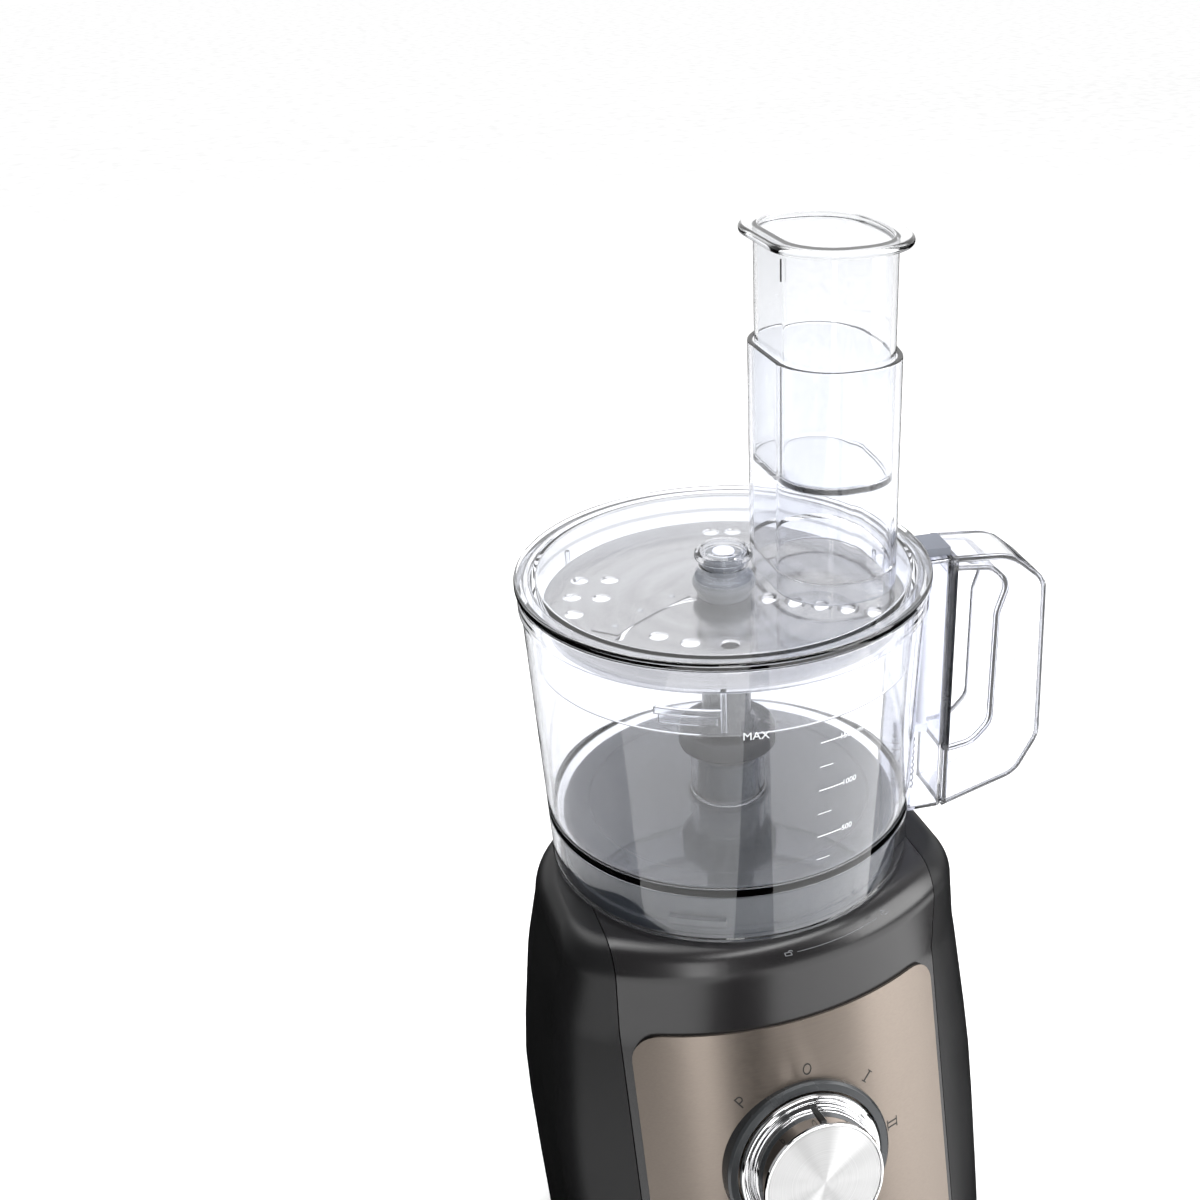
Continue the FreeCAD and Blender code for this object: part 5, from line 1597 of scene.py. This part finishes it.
# ------------------------------------------------------------------ deck print
@dataclass
class DeckPrint:
    """The thin arc between an open and a closed padlock, printed on the deck."""

    reach: float = 102.0
    start: float = -92.0
    end: float = -66.0
    line: float = 0.5
    lock: float = 3.4
    deck: float = field(default_factory=lambda: box_mm("bowl_turret")[0].z)

    def padlock(self, degrees: float, is_open: bool) -> Blank:
        """Draw one padlock in strokes, turned square to its radius.

        Args:
            degrees: where it lies about the drive axis.
            is_open: whether the shackle is swung out.

        Returns:
            The strokes.
        """
        s, t = self.lock, self.line * 0.8
        lock = Blank().plate([
            rounded_path([(-s / 2, -s / 2, 0.3), (s / 2, -s / 2, 0.3), (s / 2, s / 4, 0.3),
                          (-s / 2, s / 4, 0.3)]),
            rounded_path([(-s / 2 + t, -s / 2 + t, 0), (s / 2 - t, -s / 2 + t, 0),
                          (s / 2 - t, s / 4 - t, 0), (-s / 2 + t, s / 4 - t, 0)])], 0, 0.06)
        shift = s * 0.45 if is_open else 0.0
        ring = arc(shift, s / 4, s * 0.34, 0, 180, 12)
        ring += arc(shift, s / 4, s * 0.34 - t, 180, 0, 12)
        lock.plate([ring], 0, 0.06)
        a = math.radians(degrees)
        place = Matrix.Translation((self.reach * math.cos(a), self.reach * math.sin(a), 0))
        return lock.moved(place @ Matrix.Rotation(a + math.pi / 2, 4, "Z"))

    def build(self) -> None:
        """Print the arc and its two padlocks."""
        up = Matrix.Translation((0, 0, self.deck + 0.02))
        band = arc(0, 0, self.reach, self.start, self.end, 30)
        band += arc(0, 0, self.reach + self.line * 0.6, self.end, self.start, 30)
        arrow = Blank().plate([band], 0, 0.05).moved(up)
        arrow.piece("deck_arc", "base", "zinc_steel", DECK_INK)
        for name, degrees, is_open in (("deck_lock_open", self.start - 2.6, True),
                                       ("deck_lock_shut", self.end + 3.0, False)):
            lock = self.padlock(degrees, is_open).moved(up)
            lock.piece(name, "base", "zinc_steel", DECK_INK)


# ------------------------------------------------------------------ studio
@dataclass
class Studio:
    """Pale floor, soft light and the camera."""

    pitch: float = 26.564
    yaw: float = 21.0
    roll: float = -0.575
    distance: float = 728.1
    aim: tuple[float, float, float] = (17.30, 0.0, -19.94)
    lens: float = 45.0
    shift: float = -0.1333
    floor_radius: float = 9000.0
    bounces: int = 24

    def build_floor(self) -> None:
        """Lay a wide matt white floor with a very faint paper grain."""
        floor = Blank()
        bmesh.ops.create_circle(floor.bm, cap_ends=True, segments=96, radius=self.floor_radius)
        floor.staged("studio_floor", FLOOR_PAINT)

    def lamp(self, name: str, at: Sequence[float], to: Sequence[float],
             size: tuple[float, float], watts: float) -> None:
        """Hang one soft box.

        Args:
            name: the lamp's name.
            at: its place in metres.
            to: the place that it faces.
            size: its width and height in metres.
            watts: its power.
        """
        light = bpy.data.lights.new(name, "AREA")
        light.shape = "RECTANGLE"
        light.size, light.size_y = size
        light.energy = watts
        made = bpy.data.objects.new(name, light)
        made.location = at
        made.rotation_euler = (Vector(to) - Vector(at)).to_track_quat("-Z", "Y").to_euler()
        made.visible_camera = made.visible_transmission = False
        bpy.context.scene.collection.objects.link(made)

    def flag(self, name: str, low: Sequence[float], high: Sequence[float]) -> None:
        """Stand a black card where only mirror-like surfaces see it.

        Args:
            name: the card's name.
            low: its lowest corner in millimetres.
            high: its highest corner in millimetres.
        """
        card = Blank().block(low, high).staged(name, BLACK_CARD)
        card.visible_camera = card.visible_diffuse = card.visible_shadow = False
        card.visible_transmission = False

    def build_light(self) -> None:
        """Set the soft boxes and the mirror cards round the object."""
        middle = (0.0, 0.0, 0.2)
        self.lamp("top_box", (0.1, 0.5, 1.9), middle, (2.0, 1.4), 26)
        self.lamp("left_strip", (-0.42, -1.35, 0.55), middle, (0.26, 1.1), 5)
        self.lamp("right_box", (1.15, -0.80, 0.62), middle, (0.95, 1.2), 22)
        self.lamp("brow_box", (0.25, -0.75, 1.25), (0.0, -0.1, 0.24), (0.9, 0.16), 5)
        sun = bpy.data.lights.new("high_diffuser", "SUN")
        sun.energy, sun.angle = 2.0, math.radians(60)
        made = bpy.data.objects.new("high_diffuser", sun)
        made.rotation_euler = Euler((math.radians(-12), 0, 0))
        made.visible_camera = made.visible_transmission = False
        bpy.context.scene.collection.objects.link(made)
        for name, low, high in (("behind", (-4000, -120), (4000, 4000)),
                                ("left", (-4000, -4000), (-600, -120)),
                                ("front", (-600, -4000), (4000, -1600)),
                                ("right", (700, -1600), (4000, -120)),
                                ("middle", (-110, -1600), (30, -120))):
            self.flag("mirror_card_" + name, (*low, 0.2), (*high, 0.4))
        self.build_surround()

    def build_surround(self) -> None:
        """Make a surround that is bright behind the object and dim in front of it."""
        world = bpy.data.worlds.new("studio_surround")
        bpy.context.scene.world = world
        world.use_nodes = True
        tree = world.node_tree
        tree.nodes.clear()
        yaw = math.radians(self.yaw)
        ahead = (math.sin(yaw), math.cos(yaw), 0.0)
        way = add_node(tree, "TexCoord").outputs["Generated"]
        facing = add_node(tree, "VectorMath", {1: ahead}, {0: way}, operation="DOT_PRODUCT")
        level = add_node(tree, "MapRange", {"From Min": -0.2, "From Max": 0.55,
                                            "To Min": 0.12, "To Max": 1.05},
                         {"Value": facing.outputs["Value"]})
        path = add_node(tree, "LightPath")
        seen = add_node(tree, "Math", links={0: path.outputs["Is Camera Ray"],
                                             1: path.outputs["Is Transmission Ray"]},
                        operation="MAXIMUM")
        strength = add_node(tree, "Mix", {"B": 1.05}, {"Factor": seen.outputs[0],
                                                       "A": level.outputs["Result"]})
        sky = add_node(tree, "Background", {"Color": linear("#FFFFFF")},
                       {"Strength": strength.outputs["Result"]})
        add_node(tree, "OutputWorld", links={"Surface": sky.outputs[0]})

    def build_camera(self) -> None:
        """Stand the camera at the front left, looking down."""
        pitch, yaw, roll = (math.radians(a) for a in (self.pitch, self.yaw, self.roll))
        home = Matrix.Rotation(-yaw, 3, "Z")
        ahead = Vector((0, math.cos(pitch), -math.sin(pitch)))
        right, up = Vector((1, 0, 0)), Vector((0, math.sin(pitch), math.cos(pitch)))
        turned_right = math.cos(roll) * right + math.sin(roll) * up
        turned_up = math.cos(roll) * up - math.sin(roll) * right
        lid_top = box_mm("lid")[1].z
        place = home @ (Vector(self.aim) - self.distance * ahead) + Vector((0, 0, lid_top))
        axes = Matrix((home @ turned_right, home @ turned_up, home @ -ahead)).transposed()
        data = bpy.data.cameras.new("camera")
        data.lens, data.sensor_width, data.shift_x = self.lens, 36.0, self.shift
        camera = bpy.data.objects.new("camera", data)
        camera.matrix_world = Matrix.Translation(place * MM) @ axes.to_4x4()
        bpy.context.scene.collection.objects.link(camera)
        bpy.context.scene.camera = camera

    def build(self) -> None:
        """Set up the camera, the floor and the light."""
        self.build_camera()
        self.build_floor()
        self.build_light()
        scene = bpy.context.scene
        scene.view_settings.view_transform = "Standard"
        scene.cycles.max_bounces = self.bounces
        scene.cycles.transmission_bounces = self.bounces
        scene.cycles.transparent_max_bounces = self.bounces
        scene.cycles.use_denoising = True


def main() -> None:
    """Build the studio, then every sub-assembly in order."""
    logging.basicConfig(level=logging.INFO, format="%(name)s: %(message)s")
    Studio().build()
    housing = Housing()
    housing.build()
    DeckPrint().build()
    Knob().build(housing)
    Motor().build()
    Bowl().build()
    Lid().build()
    Disc().build()


if __name__ == "__main__":
    main()
